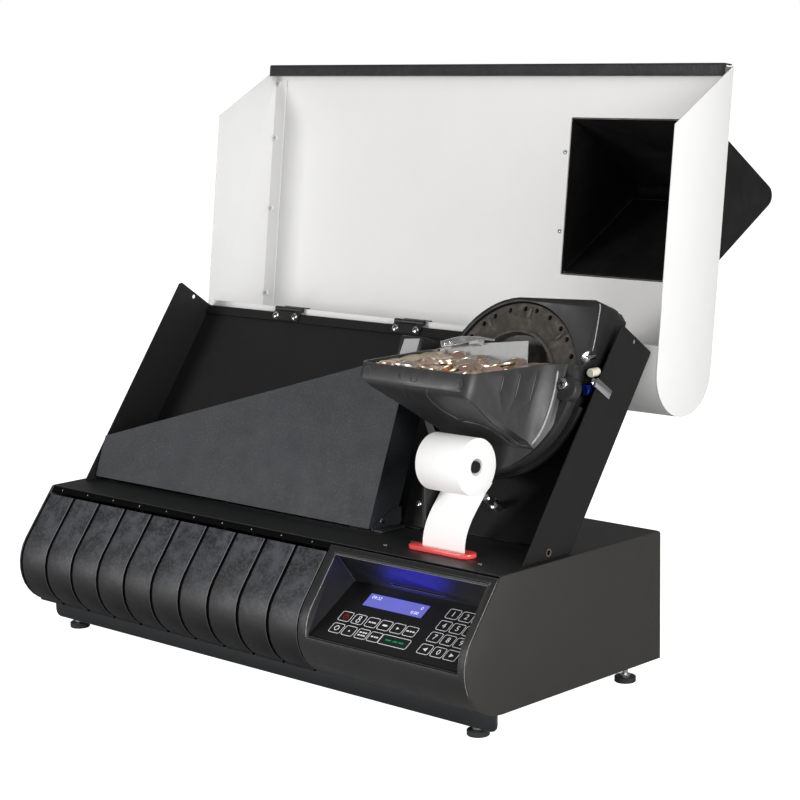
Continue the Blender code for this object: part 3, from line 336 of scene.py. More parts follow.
BOWL = plastic("bowl_plastic", (0.0300, 0.0295, 0.0300), 0.40, (0.070, 0.068, 0.068), 0.5, spec=0.42)
HOPPER = plastic("hopper_plastic", (0.0130, 0.0129, 0.0136), 0.44, (0.036, 0.035, 0.036), 0.4, spec=0.38)
PLAIN_BLACK = plastic("plain_black_plastic", (0.012, 0.012, 0.013), 0.4)
FOIL = plastic("keypad_film", (0.0075, 0.0075, 0.0085), 0.42, grain=2200, depth=0.00001)
RED = plastic("red_gloss_plastic", (0.95, 0.10, 0.10), 0.22, grain=400, depth=0.00001)
CREAM = plastic("cream_nylon", (0.78, 0.74, 0.62), 0.45, (0.5, 0.45, 0.35), 0.3)
GREEN = plastic("green_board", (0.015, 0.10, 0.04), 0.35, (0.03, 0.16, 0.07), 0.4)
WINDOW = plastic("display_bezel", (0.01, 0.01, 0.012), 0.2, grain=2000, depth=0.000005)

TRIM = Mat("ribbed_black_rubber", (0.012, 0.012, 0.0125), 0.55)
TRIM.bump(TRIM.wave(190, direction="X", profile="SIN"), 0.8, 0.0006)
TRIM.bump(TRIM.noise(900, 3.0), 0.3, 0.00008)
TRIM.tint(TRIM.ramp(TRIM.noise(60, 3.0), 0.5, 0.8), (0.045, 0.045, 0.046), 0.5)
TRIM.vary_rough(TRIM.noise(120, 2.0), 0.45, 0.7)

RUBBER = Mat("black_rubber", (0.012, 0.012, 0.012), 0.7)
RUBBER.bump(RUBBER.noise(700, 3.0), 0.5, 0.0001)
RUBBER.tint(RUBBER.ramp(RUBBER.noise(150, 3.0), 0.5, 0.8), (0.04, 0.04, 0.04), 0.6)


def metal(name, colour, rough, aniso=(1, 1, 1), dirt=0.25):
    m = Mat(name, colour, rough, 1.0)
    vec = m.mapped(aniso)
    m.bump(m.noise(900, 3.0, 0.6, vec=vec), 0.25, 0.00003)
    m.vary_rough(m.noise(160, 3.0, 0.6), max(0.08, rough - 0.08), rough + 0.12)
    m.tint(m.ramp(m.noise(240, 4.0, 0.7), 0.55, 0.8), tuple(c * 0.45 for c in colour), dirt)
    return m


ZINC = metal("bright_zinc", (0.72, 0.73, 0.74), 0.24)
STEEL = metal("satin_steel", (0.56, 0.56, 0.55), 0.36, (1, 6, 6))
CHROME = metal("polished_latch_steel", (0.74, 0.74, 0.75), 0.13, dirt=0.35)
BAFFLE = metal("galvanised_sheet", (0.45, 0.455, 0.46), 0.60, dirt=0.3)
BAFFLE.b.inputs["Metallic"].default_value = 0.35
RECESS_SHADE_METAL = metal("painted_recess_shade", (0.05, 0.05, 0.05), 0.35)
BLUE = metal("blue_anodised", (0.020, 0.060, 0.50), 0.15, dirt=0.15)

# painted highlights along the edges of the bowl and the hopper housing
painted_edge_highlight(BOWL, (0.060, 0.060, 0.062), 0.6, 0.9)
painted_edge_highlight(HOPPER, (0.045, 0.045, 0.047), 0.6, 1.2)
# light-coloured plastics for thin tubes laid along edges: painted highlights, dim, on the ribs and bright
DIM_EDGE_HIGHLIGHT = plastic("painted_dim_edge_highlight", (0.085, 0.085, 0.088), 0.26, (0.15, 0.15, 0.15), 0.4)
RIB_EDGE = plastic("painted_rib_edge_highlight", (0.155, 0.154, 0.156), 0.3, (0.22, 0.22, 0.22), 0.4)
SHINE = plastic("painted_bright_edge_highlight", (0.34, 0.34, 0.345), 0.24, (0.42, 0.42, 0.42), 0.4)
# a lighter copy of the bowl's plastic for its moulded ridges: painted highlight on them
RIBBED = plastic("bowl_rib_plastic", (0.046, 0.0455, 0.0465), 0.34, (0.08, 0.08, 0.08), 0.4)

PAPER = Mat("white_paper", (0.95, 0.95, 0.945), 0.75)
# painted light: a faint glow makes the paper brighter than its lighting gives
PAPER.b.inputs["Emission Color"].default_value = (1, 1, 1, 1)
PAPER.b.inputs["Emission Strength"].default_value = 0.07
PAPER.bump(PAPER.noise(420, 4.0, 0.6), 0.25, 0.00004)
PAPER.tint(PAPER.ramp(PAPER.noise(900, 3.0), 0.55, 0.8), (0.84, 0.84, 0.83), 0.4)
PAPER.b.inputs["Subsurface Weight"].default_value = 0.15
PAPER.b.inputs["Subsurface Radius"].default_value = (0.002, 0.002, 0.002)
PAPER.b.inputs["Subsurface Scale"].default_value = 0.3


def roll_material():
    """Edges of the wound paper show as fine rings about the roll's axis."""
    m = Mat("wound_paper", (0.95, 0.95, 0.945), 0.75)
    # painted light: a faint glow makes the roll brighter than its lighting gives
    m.b.inputs["Emission Color"].default_value = (1, 1, 1, 1)
    m.b.inputs["Emission Strength"].default_value = 0.07
    c = P((0, 101.3, 224.8))
    vec = m.mapped(loc=(0, -c.y, -c.z))
    w = m.wave(260, vec=vec, kind="RINGS", direction="X", dist=0.6)
    geo = m.n("ShaderNodeNewGeometry")
    sep = m.n("ShaderNodeSeparateXYZ")
    m.link(geo.outputs["True Normal"], sep.inputs[0])
    side = m.ramp(m.math("ABSOLUTE", sep.outputs[0]), 0.6, 0.9)
    m.tint(m.math("MULTIPLY", m.ramp(w, 0.1, 0.9), side), (0.78, 0.78, 0.77), 0.55)
    m.bump(m.math("MULTIPLY", w, side), 0.4, 0.00015)
    m.bump(m.noise(300, 3.0), 0.15, 0.00005)
    m.vary_rough(m.noise(200, 2.0), 0.68, 0.85)
    return m


ROLL = roll_material()


def disc_material():
    """Dirty moulded disc: brown-grey smears that run round the disc, lighter scuffs, dark grime."""
    m = Mat("scuffed_disc", (0.046, 0.041, 0.034), 0.55, spec=0.4)
    c = P(SORT.at(DISC_X, DISC_Q, -30))
    vec = m.mapped(loc=tuple(-x for x in c))
    m.tint(m.ramp(m.noise(46, 6.0, 0.72, vec=vec, dist=1.6), 0.42, 0.66), (0.098, 0.088, 0.073), 0.75)
    m.tint(m.ramp(m.noise(120, 5.0, 0.7, vec=vec), 0.5, 0.72), (0.016, 0.014, 0.012), 0.7)
    m.tint(m.ramp(m.noise(420, 4.0, 0.7, vec=vec), 0.6, 0.8), (0.19, 0.18, 0.16), 0.4)
    m.bump(m.noise(500, 4.0, 0.6), 0.35, 0.00012)
    m.vary_rough(m.noise(60, 4.0, 0.7), 0.42, 0.72)
    return m


DISC = disc_material()


def hood_material():
    m = Mat("black_hood_lining", (0.0068, 0.0066, 0.0070), 0.46, spec=0.35)
    m.bump(m.wave(9.0, vec=m.mapped((1, 1, 1), (0.5, 0.3, 0.2)), dist=9.0, dscale=1.4), 0.35, 0.0010)
    m.bump(m.noise(700, 3.0), 0.4, 0.00006)
    m.tint(m.ramp(m.noise(60, 5.0, 0.7), 0.5, 0.78), (0.022, 0.020, 0.022), 0.5)
    m.vary_rough(m.noise(18, 4.0, 0.65), 0.3, 0.56)
    return m


HOOD = hood_material()


def foot_material():
    """Zinc stud above a knurled black foot, told apart by height."""
    m = Mat("foot", (0.62, 0.62, 0.63), 0.3, 1.0)
    sep = m.n("ShaderNodeSeparateXYZ")
    m.link(m.co, sep.inputs[0])
    low = m.ramp(sep.outputs[2], 0.0071, 0.0069)
    m.tint(low, (0.020, 0.020, 0.020))
    m.link(m.ramp(low, 0, 1, 1.0, 0.0), m.b.inputs["Metallic"])
    m.link(m.ramp(low, 0, 1, 0.28, 0.5), m.b.inputs["Roughness"])
    m.bump(m.wave(1500, vec=m.mapped((1, 1, 0)), kind="BANDS", direction="DIAGONAL"), 0.3, 0.0002)
    m.bump(m.noise(900, 2.0), 0.3, 0.00005)
    return m


FOOT = foot_material()


def emitter(name, colour, strength, base=(0.02, 0.02, 0.02), rough=0.25):
    m = Mat(name, base, rough)
    m.b.inputs["Emission Color"].default_value = (*colour, 1)
    m.b.inputs["Emission Strength"].default_value = strength
    m.bump(m.noise(1800, 2.0), 0.1, 0.00001)
    m.vary_rough(m.noise(90, 2.0), rough - 0.05, rough + 0.05)
    return m


SCREEN = emitter("lit_display", (0.150, 0.158, 0.56), 0.95, (0.02, 0.02, 0.08), 0.18)
# a display's fine dot grid
SCREEN.b.inputs["Specular IOR Level"].default_value = 0.0
SCREEN.tint(SCREEN.ramp(SCREEN.noise(1500, 1.0), 0.4, 0.7), (0.03, 0.03, 0.12), 0.6)
GLYPH = emitter("display_digits", (0.72, 0.75, 1.0), 1.0, (0.4, 0.4, 0.5))
INK = plastic("white_print", (0.86, 0.86, 0.86), 0.5, (0.5, 0.5, 0.5), 0.4, grain=3000, depth=0.000005)
# painted light: a faint glow brightens the white print
INK.b.inputs["Emission Color"].default_value = (1, 1, 1, 1)
INK.b.inputs["Emission Strength"].default_value = 0.16
INK_RED = plastic("red_print", (0.30, 0.030, 0.022), 0.5, (0.12, 0.015, 0.01), 0.5, grain=3000, depth=0.000005)
INK_GREEN = plastic("green_print", (0.010, 0.36, 0.12), 0.5, (0.01, 0.16, 0.05), 0.4, grain=3000, depth=0.000005)
KEY_GREEN = plastic("green_key_field", (0.006, 0.018, 0.011), 0.45, (0.004, 0.012, 0.008), 0.4, grain=3000, depth=0.000005)
KEY_BLACK = plastic("key_field", (0.010, 0.010, 0.011), 0.36, (0.017, 0.017, 0.018), 0.4, grain=2500, depth=0.00001)
KEY_RED = plastic("red_key_field", (0.026, 0.008, 0.007), 0.4, (0.04, 0.012, 0.01), 0.4, grain=2500, depth=0.00001)


# ------------------------------------------------------------------ CAD nodes: finish, smooth faces, broken edges
def dress(name, mat, bevel=0.0, segs=2, angle=32, smooth=True):
    ob = NODES[name]
    me = ob.data
    me.materials.clear()
    me.materials.append(mat.m)
    for attr in ("custom_normal",):
        a = me.attributes.get(attr)
        if a is not None:
            me.attributes.remove(a)
    me.shade_smooth()
    w = ob.modifiers.new("weld", "WELD")
    w.merge_threshold = 2e-6
    if bevel:
        b = ob.modifiers.new("edge", "BEVEL")
        b.width = bevel / 1000
        b.segments = segs
        b.limit_method = "ANGLE"
        b.angle_limit = math.radians(angle)
        b.use_clamp_overlap = True
        b.miter_outer = "MITER_ARC"
        b.harden_normals = False
    s = ob.modifiers.new("split", "EDGE_SPLIT")
    s.split_angle = math.radians(angle if not bevel else 38)
    return ob


for n, mat, bev in (
    ("base_tray", BLACK, 0), ("left_side_plate", SIDE_BLACK, 0.35), ("right_side_plate", SIDE_BLACK, 0.35), ("top_plate", TOP_BLACK, 0),
    ("rear_panel", BLACK, 0), ("front_rail", RAIL, 0.3), ("drawer_guide", BLACK, 0), ("control_housing", HOUSING, 0.6),
    ("keypad_foil", FOIL, 0), ("lcd_display", WINDOW, 0), ("control_board", GREEN, 0), ("printer_unit", PLAIN_BLACK, 0),
    ("paper_slot_bezel", RED, 0.7), ("paper_strip", PAPER, 0), ("roll_bracket", BLACK, 0), ("mechanism_frame", FRAME_BLACK, 0),
    ("rail_cover", COVER, 0), ("sorting_rail", STEEL, 0), ("coin_sensor", PLAIN_BLACK, 0.5), ("hopper_bracket", FRAME_BLACK, 0.2),
    ("hopper_housing", HOPPER, 1.2), ("hopper_motor", STEEL, 0.5), ("hopper_bowl", BOWL, 0.5), ("coin_baffle", BAFFLE, 0),
    ("latch_bush", CREAM, 0), ("latch_hook", CHROME, 0.15), ("panel_stud", ZINC, 0), ("hinge_leaf_1", BLACK, 0), ("hinge_leaf_2", BLACK, 0),
    ("hinge_leaf_3", BLACK, 0), ("power_inlet", PLAIN_BLACK, 0.6), ("lid_shell", WHITE, 0), ("lid_left_plate", WHITE, 0.3),
    ("lid_right_plate", WHITE, 0.3), ("edge_trim", TRIM, 1.0), ("inlet_hood", HOOD, 0), ("hinge_strap_1", BLACK, 0), ("hinge_strap_2", BLACK, 0),
    ("hinge_strap_3", BLACK, 0), ("hood_flap", HOOD, 0), ("hopper_disc", DISC, 0.3), ("paper_roll", ROLL, 0.3), ("platen_roller", RUBBER, 0),
    ("latch_knob", BLUE, 0), ("wing_screw", CHROME, 0.2), ("power_rocker", PLAIN_BLACK, 0.4),
    ("foot_front_left", FOOT, 0), ("foot_front_right", FOOT, 0), ("foot_rear_left", FOOT, 0), ("foot_rear_right", FOOT, 0),
    *[(f"drawer_{i + 1}", DRAWER, 0.55) for i in range(10)],
):
    dress(n, mat, bev)


# ------------------------------------------------------------------ mesh makers for added pieces
class Build:
    """Collects faces in one bmesh, so that many small things make one piece."""

    def __init__(self):
        self.bm = bmesh.new()

    def prism(self, fr, outline, c0, c1):
        lo = [self.bm.verts.new(P(fr.at(a, b, c0))) for a, b in outline]
        hi = [self.bm.verts.new(P(fr.at(a, b, c1))) for a, b in outline]
        n = len(outline)
        self.bm.faces.new(lo)
        self.bm.faces.new(hi)
        for i in range(n):
            self.bm.faces.new((lo[i], lo[(i + 1) % n], hi[(i + 1) % n], hi[i]))
        return self

    def ring(self, fr, outer, inner, c0, c1):
        n = len(outer)
        rows = [[self.bm.verts.new(P(fr.at(a, b, c))) for a, b in pts] for pts, c in ((outer, c0), (outer, c1), (inner, c1), (inner, c0))]
        rows.append(rows[0])
        for p, q in zip(rows, rows[1:]):
            for i in range(n):
                self.bm.faces.new((p[i], p[(i + 1) % n], q[(i + 1) % n], q[i]))
        return self

    def turned(self, fr, ca, cb, profile, n=24, turn=0.0):
        rings = []
        for r, c in profile:
            if r <= 0:
                rings.append([self.bm.verts.new(P(fr.at(ca, cb, c)))])
            else:
                rings.append([self.bm.verts.new(P(fr.at(ca + r * cs(2 * math.pi * i / n + turn), cb + r * sn(2 * math.pi * i / n + turn), c))) for i in range(n)])
        for p, q in zip(rings, rings[1:]):
            for i in range(n):
                j = (i + 1) % n
                if len(p) == 1:
                    self.bm.faces.new((p[0], q[i], q[j]))
                elif len(q) == 1:
                    self.bm.faces.new((p[i], q[0], p[j]))
                else:
                    self.bm.faces.new((p[i], q[i], q[j], p[j]))
        return self

    def text(self, fr, a, b, c, body, size, thick=0.05, squeeze=1.0):
        """Figures from Blender's built-in font, centred at (a, b)."""
        cu = bpy.data.curves.new("t", "FONT")
        cu.body = body
        cu.size = size / 1000
        cu.align_x, cu.align_y = "CENTER", "CENTER"
        cu.extrude = thick / 2000
        cu.resolution_u = 3
        ob = bpy.data.objects.new("t", cu)
        col.objects.link(ob)
        bpy.context.view_layer.update()
        me = bpy.data.meshes.new_from_object(ob.evaluated_get(bpy.context.evaluated_depsgraph_get()))
        m = Matrix((fr.a * squeeze, fr.b, fr.c)).transposed().to_4x4()
        m.translation = P(fr.at(a, b, c))
        me.transform(m)
        self.bm.from_mesh(me)
        bpy.data.objects.remove(ob)
        bpy.data.meshes.remove(me)
        return self

    def done(self, name, mat, body, smooth=30, slot=None, bevel=0.0):
        bmesh.ops.recalc_face_normals(self.bm, faces=self.bm.faces[:])
        me = bpy.data.meshes.new(name)
        self.bm.to_mesh(me)
        self.bm.free()
        me.materials.append(mat.m)
        if smooth:
            me.shade_smooth()
            me.set_sharp_from_angle(angle=math.radians(smooth))
        ob = bpy.data.objects.new(name, me)
        col.objects.link(ob)
        if bevel:
            b = ob.modifiers.new("edge", "BEVEL")
            b.width, b.segments, b.limit_method = bevel / 1000, 2, "ANGLE"
            b.angle_limit = math.radians(35)
        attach(ob, body)
        return ob


def rect(a0, a1, b0, b1):
    return [(a0, b0), (a1, b0), (a1, b1), (a0, b1)]


def rounded(a0, a1, b0, b1, r, n=4):
    pts = []
    for ca, cb, t0 in ((a1 - r, b1 - r, 0), (a0 + r, b1 - r, 90), (a0 + r, b0 + r, 180), (a1 - r, b0 + r, 270)):
        for i in range(n + 1):
            t = math.radians(t0 + 90 * i / n)
            pts.append((ca + r * cs(t), cb + r * sn(t)))
    return pts


HEADS, RECESS, WHITE_HEADS, WHITE_RECESS = Build(), Build(), Build(), Build()
LID_ZINC, LID_RECESS = Build(), Build()


def pan_head(heads, recess, fr, a, b, c, r=3.6, h=2.2, turn=0.4):
    """Low domed head with a cross recess, standing on the plane c; the recess is drawn as bars standing on the head,
    coloured dark as painted shade.
    """
    heads.turned(fr, a, b, [(0, c - 0.6), (r, c - 0.6), (r, c + 0.35 * h), (r * 0.86, c + 0.72 * h), (r * 0.5, c + 0.95 * h), (0, c + h)], 24)
    for t in (turn, turn + math.pi / 2):
        u, v = cs(t), sn(t)
        L, w = r * 0.55, r * 0.14
        pts = [(a + u * L - v * w, b + v * L + u * w), (a - u * L - v * w, b - v * L + u * w), (a - u * L + v * w, b - v * L - u * w), (a + u * L + v * w, b + v * L - u * w)]
        recess.prism(fr, pts, c + 0.80 * h, c + h + 0.06)


# base top, right of the drawers, and the row along the front lip
for x in (515.5, 644.0):
    pan_head(HEADS, RECESS, PLAN, x, 69.7, H, 2.5, 0.9)
# small heads in the dark band of the folded lip, one beside each drawer's edge
LIPF = Frame((0, 43.9, 133.4), (1, 0, 0), (0, sn(PHI), cs(PHI)), (0, -cs(PHI), sn(PHI)))
LIP_HEADS = Build()
for i in range(10):
    LIP_HEADS.turned(LIPF, 2.3 + 46.15 * i + 17.5, 0.0, [(0, -1.2), (1.0, -1.2), (1.0, 0.2), (0.6, 0.45), (0, 0.5)], 14)
# rail cover's foot, hopper bracket, frame walls
pan_head(HEADS, RECESS, Frame(SIDE.o, SIDE.a, SIDE.b, SIDE.c), 118.0, 146.0, 463.0 + 1.4, 3.0, 1.6)
pan_head(HEADS, RECESS, SORT, 484.5, 40.0, -44.0, 3.6, 2.0)
# worn brown rim of the hole in the right wall, hinge screws, the cross head of the bowl's bolt
WEAR = Build()
ring_o = [(-12.8 + 3.9 * sn(2 * math.pi * i / 20), 30.0 + 3.9 * cs(2 * math.pi * i / 20)) for i in range(20)]
ring_i = [(-12.8 + 2.9 * sn(2 * math.pi * i / 20), 30.0 + 2.9 * cs(2 * math.pi * i / 20)) for i in range(20)]
WEAR.ring(Frame(BODY.o, BODY.a, BODY.b, BODY.c), ring_o, ring_i, W - 8.5, W - 8.4)
for hx in (150.4, 346.6, 542.8):
    for sx in (hx - 15.8, hx + 15.8):
        HEADS.turned(BODY_X, sx, 224.6, [(0, 3.9), (4.3, 3.9), (4.25, 5.1), (3.7, 6.0), (2.1, 6.8), (0, 6.95)], 24)
        for t in (0.5, 0.5 + math.pi / 2):
            u, v = cs(t), sn(t)
            RECESS.prism(BODY_X, [(sx + u * 2.2 - v * 0.45, 224.6 + v * 2.2 + u * 0.45), (sx - u * 2.2 - v * 0.45, 224.6 - v * 2.2 + u * 0.45),
                                  (sx - u * 2.2 + v * 0.45, 224.6 - v * 2.2 - u * 0.45), (sx + u * 2.2 + v * 0.45, 224.6 + v * 2.2 - u * 0.45)], 6.3, 7.02)
HEADS.turned(SORT, 667.4, 179.6, [(5.62, -9.6), (5.8, -9.6), (5.8, -5.0), (5.2, -4.1), (3.2, -3.7), (0, -3.6)], 28)
for t in (0.35, 0.35 + math.pi / 2):
    u, v = cs(t), sn(t)
    RECESS.prism(SORT, [(667.4 + u * 3.1 - v * 0.55, 179.6 + v * 3.1 + u * 0.55), (667.4 - u * 3.1 - v * 0.55, 179.6 - v * 3.1 + u * 0.55),
                        (667.4 - u * 3.1 + v * 0.55, 179.6 - v * 3.1 - u * 0.55), (667.4 + u * 3.1 + v * 0.55, 179.6 + v * 3.1 - u * 0.55)], -3.9, -3.5)

# lid: white-painted heads along the left plate's fold, hood screws
for u in (276.0, 208.0, 120.0, 13.0):
    pan_head(WHITE_HEADS, WHITE_RECESS, LID_X, 8.0, u, -T_LID + 3.2, 3.4, 2.2)
    pan_head(WHITE_HEADS, WHITE_RECESS, LID_X, W - 8.0, u, -T_LID + 3.2, 3.4, 2.2)
for u in (201.0, 113.0):
    pan_head(LID_ZINC, LID_RECESS, LID_X, 475.5, u, -T_LID + 1.5, 2.6, 1.7)

HEADS.done("zinc_screw_heads", ZINC, "base", slot="zinc")
# painted shade: the cross recesses are dark bars
RECESS.done("screw_recesses", RECESS_SHADE_METAL, "base", smooth=0, slot="black_plastic")
LIP_HEADS.done("lip_screw_heads", metal("dull_zinc", (0.30, 0.30, 0.31), 0.4), "base", slot="zinc")
WEAR.done("worn_hole_rim", plastic("worn_coat", (0.16, 0.11, 0.075), 0.5, (0.30, 0.24, 0.19), 0.5), "base", smooth=0, slot="black_coat")
PLATE = Build().prism(SORT, [(434.4, 192.4), (434.4, 183.0), (457.0, 183.0), (457.4, 210.6), (436.2, 208.4)], -14.1, -13.5)
PLATE.done("sensor_face_plate", plastic("grey_sensor_face", (0.39, 0.39, 0.395), 0.5, (0.45, 0.45, 0.45), 0.3, depth=0.00001), "base", smooth=0, slot="black_plastic")


def tube(b, pts, r, n=8, fr=SORT):
    """A rib with round ends along points given in a frame, here the sorter's (x, q, e)."""
    path = [P(fr.at(*p)) for p in pts]
    rows = []
    for i, p in enumerate(path):
        d = (path[min(i + 1, len(path) - 1)] - path[max(i - 1, 0)]).normalized()
        s1 = d.orthogonal().normalized()
        s2 = d.cross(s1)
        k = 0.35 if i in (0, len(path) - 1) else 1.0
        rows.append([b.bm.verts.new(p + (s1 * cs(2 * math.pi * j / n) + s2 * sn(2 * math.pi * j / n)) * r * k / 1000) for j in range(n)])
    for p, q in zip(rows, rows[1:]):
        for j in range(n):
            b.bm.faces.new((p[j], p[(j + 1) % n], q[(j + 1) % n], q[j]))
    b.bm.faces.new(rows[0])
    b.bm.faces.new(rows[-1])


def smooth_path(pts, n=5):
    """Catmull-Rom points through pts."""
    out = []
    v = [Vector(p) for p in pts]
    for i in range(len(v) - 1):
        a, b, c, d = v[max(i - 1, 0)], v[i], v[i + 1], v[min(i + 2, len(v) - 1)]
        for k in range(n):
            t = k / n
            out.append(tuple(0.5 * ((2 * b) + (c - a) * t + (2 * a - 5 * b + 4 * c - d) * t * t + (3 * b - 3 * c + d - a) * t ** 3)))
    return out + [tuple(v[-1])]


# moulded details of the bowl: bosses, the stepped rib under it and the seam, in a lighter plastic that paints a
# highlight on them; then painted highlight tubes on the rib edges, the housing's front edge and the crest beside the
# ring
MOULD = Build()
EDGES = Build()
for x, q, e in ((498.2, 151.6, 93.9), (562.5, 149.8, 93.9), (622.0, 149.2, 93.6)):
    MOULD.ring(SORT, [(x + 4.7 * cs(2 * math.pi * i / 28), q + 4.7 * sn(2 * math.pi * i / 28)) for i in range(28)],
               [(x + 3.9 * cs(2 * math.pi * i / 28), q + 3.9 * sn(2 * math.pi * i / 28)) for i in range(28)], e - 0.5, e + 0.45)
tube(MOULD, smooth_path([(583.0, 141.0, 92.6), (579.9, 138.2, 89.6), (575.8, 135.4, 82.1), (572.8, 131.5, 67.6), (575.3, 126.8, 50.0), (584.4, 122.9, 35.7)]), 1.1)
tube(MOULD, smooth_path([(584.4, 122.9, 35.7), (592.6, 124.9, 42.6)]), 0.9)
tube(MOULD, smooth_path([(541.5, 152.5, 93.8), (545.5, 144.2, 93.4), (545.5, 137.2, 86.3), (540.5, 132.8, 72.7)]), 0.8)
tube(MOULD, smooth_path([(629.1, 136.3, 84.9), (631.5, 133.3, 73.7), (628.0, 127.2, 50.8), (627.3, 123.8, 38.4)]), 1.0)
tube(MOULD, smooth_path([(584.4, 122.6, 34.5), (601.6, 122.3, 33.4), (613.0, 120.7, 27.0), (618.6, 116.3, 10.2), (629.5, 109.8, -0.3)]), 1.0)
tube(MOULD, smooth_path([(627.3, 123.7, 38.4), (631.5, 118.6, 19.6), (636.8, 112.4, 3.0), (649.0, 111.6, 1.6)]), 1.0)
MOULD.done("bowl_mouldings", RIBBED, "base", smooth=50, slot="black_plastic")
# painted highlight: light tubes along the edges of the ribs on the bowl's right wall
for x, y, z, ql in ((644.6, 112.0, 318.0, 17.0), (648.4, 132.5, 317.0, 24.0), (652.0, 152.5, 316.5, 30.0)):
    r = Vector((x, y, z)) - SORT.o
    q, e = r.dot(SORT.b), r.dot(SORT.c)
    xs = 648.0 if e < 12 else 643.0 + (40.0 - e) * 5.0 / 28.0 if e < 40 else 634.5 + (80.0 - e) * 8.5 / 40.0
    tube(EDGES, [(xs + 1.0, q - ql + 0.5, e + 0.7), (xs + 1.0, q - ql * 0.5, e + 0.7), (xs + 1.0, q - 0.4, e + 0.7)], 0.5)
EDGES.done("bowl_rib_edges", RIB_EDGE, "base", smooth=60, slot="black_plastic")
# painted highlight: a bright tube along the hopper housing's front right edge
EDGE2 = Build()
tube(EDGE2, smooth_path([(671.9, 269.0, -29.0), (673.2, 264.6, -29.4), (673.5, 257.7, -29.8), (673.5, 244.6, -31.2), (673.5, 230.3, -32.4), (673.5, 220.6, -32.6)], 4), 0.62)
EDGE2.done("housing_front_edge", SHINE, "base", smooth=60, slot="black_plastic")


def front_line(t0, a_end, n=12, off=0.46):
    """The front's profile in machine y and z."""
    pts = []
    for i in range(5):
        t = t0 + i * 8.0
        pts.append((44.1 - sn(PHI) * t + cs(PHI) * off, 137.0 - cs(PHI) * t - sn(PHI) * off))
    r = 51.2 - off
    for i in range(n + 1):
        t = PHI + (math.radians(a_end) - PHI) * i / n
        pts.append((43.0 - r * cs(t), 51.2 + r * sn(t)))
    return pts


# painted highlights: light tubes along the recess's side edges, bright on two and dim on the other two
RIM = Build()
tube(RIM, [(475.7, y, z) for y, z in front_line(11.0, -4.0)], 0.42, fr=PLAN)
tube(RIM, [(690.5, y, z) for y, z in front_line(3.4, -30.0)], 0.42, fr=PLAN)
RIM.done("control_rim_edges", SHINE, "base", smooth=60, slot="black_plastic")
RIM2 = Build()
tube(RIM2, [(682.3, y, z) for y, z in front_line(11.0, -4.0)], 0.36, fr=PLAN)
tube(RIM2, [(465.1, y, z) for y, z in front_line(3.4, -50.0)], 0.36, fr=PLAN)
RIM2.done("control_rim_edges_dim", DIM_EDGE_HIGHLIGHT, "base", smooth=60, slot="black_plastic")
ARM = Build().prism(SORT, [(494.6, 204.1), (513.1, 207.7), (543.6, 216.5), (562.4, 216.6), (562.5, 217.3), (543.0, 218.3), (518.8, 216.9), (507.0, 214.1), (491.6, 209.2)], -9.7, -9.25)
ARM.turned(SORT, 499.0, 207.6, [(0, -9.4), (2.2, -9.4), (2.1, -8.2), (1.2, -7.7), (0, -7.6)], 16)
ARM.turned(SORT, 505.2, 210.2, [(0, -9.4), (1.9, -9.4), (1.8, -8.4), (1.0, -8.0), (0, -7.9)], 16)
tube(ARM, [(497.0, 205.0, -8.9), (520.0, 210.2, -8.9), (543.4, 216.9, -8.9), (562.0, 216.9, -8.9)], 0.8)
ARM.done("baffle_arm_face", CHROME, "base", smooth=40, slot="steel")
# painted highlight: a bright tube along the crest where the bowl's right wall turns into the ring
CREST = Build()
tube(CREST, smooth_path([(658.6, 192.0, -4.6), (659.4, 177.6, -5.4), (659.4, 164.3, -5.4), (659.0, 151.8, -5.0), (657.4, 134.8, -3.7), (655.0, 122.7, -1.4), (652.2, 113.6, 1.6)], 6), 1.3, 12)
CREST.done("bowl_crest", SHINE, "base", smooth=60, slot="black_plastic")
WHITE_HEADS.done("painted_screw_heads", WHITE, "lid", slot="white_coat")
# painted shade: grey cross recesses on the white heads
WHITE_RECESS.done("painted_screw_recesses", coat("painted_shade_grey_recess", (0.35, 0.35, 0.35), 0.5), "lid", smooth=0, slot="white_coat")
LID_ZINC.done("hood_screw_heads", ZINC, "lid", slot="zinc")
# painted shade: dark cross recesses on the hood screws
LID_RECESS.done("hood_screw_recesses", RECESS_SHADE_METAL, "lid", smooth=0, slot="black_plastic")

# ------------------------------------------------------------------ keypad and display
KW, KH, KR, LINE = 15.8, 13.3, 2.6, 0.62
keys = [(x, 35.2) for x in (502.1, 520.5, 539.2, 556.7, 574.3, 591.6)] + [(x, 18.4) for x in (502.7, 520.3, 538.6, 555.8)]
nums = [(x, w) for w in (68.0, 51.5, 35.2, 18.4) for x in (624.0, 641.5, 658.5)]
outline, fields, red_field, green_field = Build(), Build(), Build(), Build()
C0 = 0.40
for i, (x, w) in enumerate(keys + nums):
    o = rounded(x - KW / 2, x + KW / 2, w - KH / 2, w + KH / 2, KR)
    n_ = rounded(x - KW / 2 + LINE, x + KW / 2 - LINE, w - KH / 2 + LINE, w + KH / 2 - LINE, KR - LINE)
    outline.ring(FLOORF, o, n_, C0, C0 + 0.06)
    (red_field if i == 0 else fields).prism(FLOORF, n_, C0, C0 + 0.03)
o = rounded(563.6, 602.0, 18.4 - KH / 2, 18.4 + KH / 2, KR)
n_ = rounded(563.6 + LINE, 602.0 - LINE, 18.4 - KH / 2 + LINE, 18.4 + KH / 2 - LINE, KR - LINE)
outline.ring(FLOORF, o, n_, C0, C0 + 0.06)
green_field.prism(FLOORF, n_, C0, C0 + 0.03)
outline.done("key_outlines", INK, "base", smooth=0, slot="foil")
fields.done("key_fields", KEY_BLACK, "base", smooth=0, slot="foil")
red_field.done("red_key_field", KEY_RED, "base", smooth=0, slot="foil")
green_field.done("green_key_field", KEY_GREEN, "base", smooth=0, slot="foil")

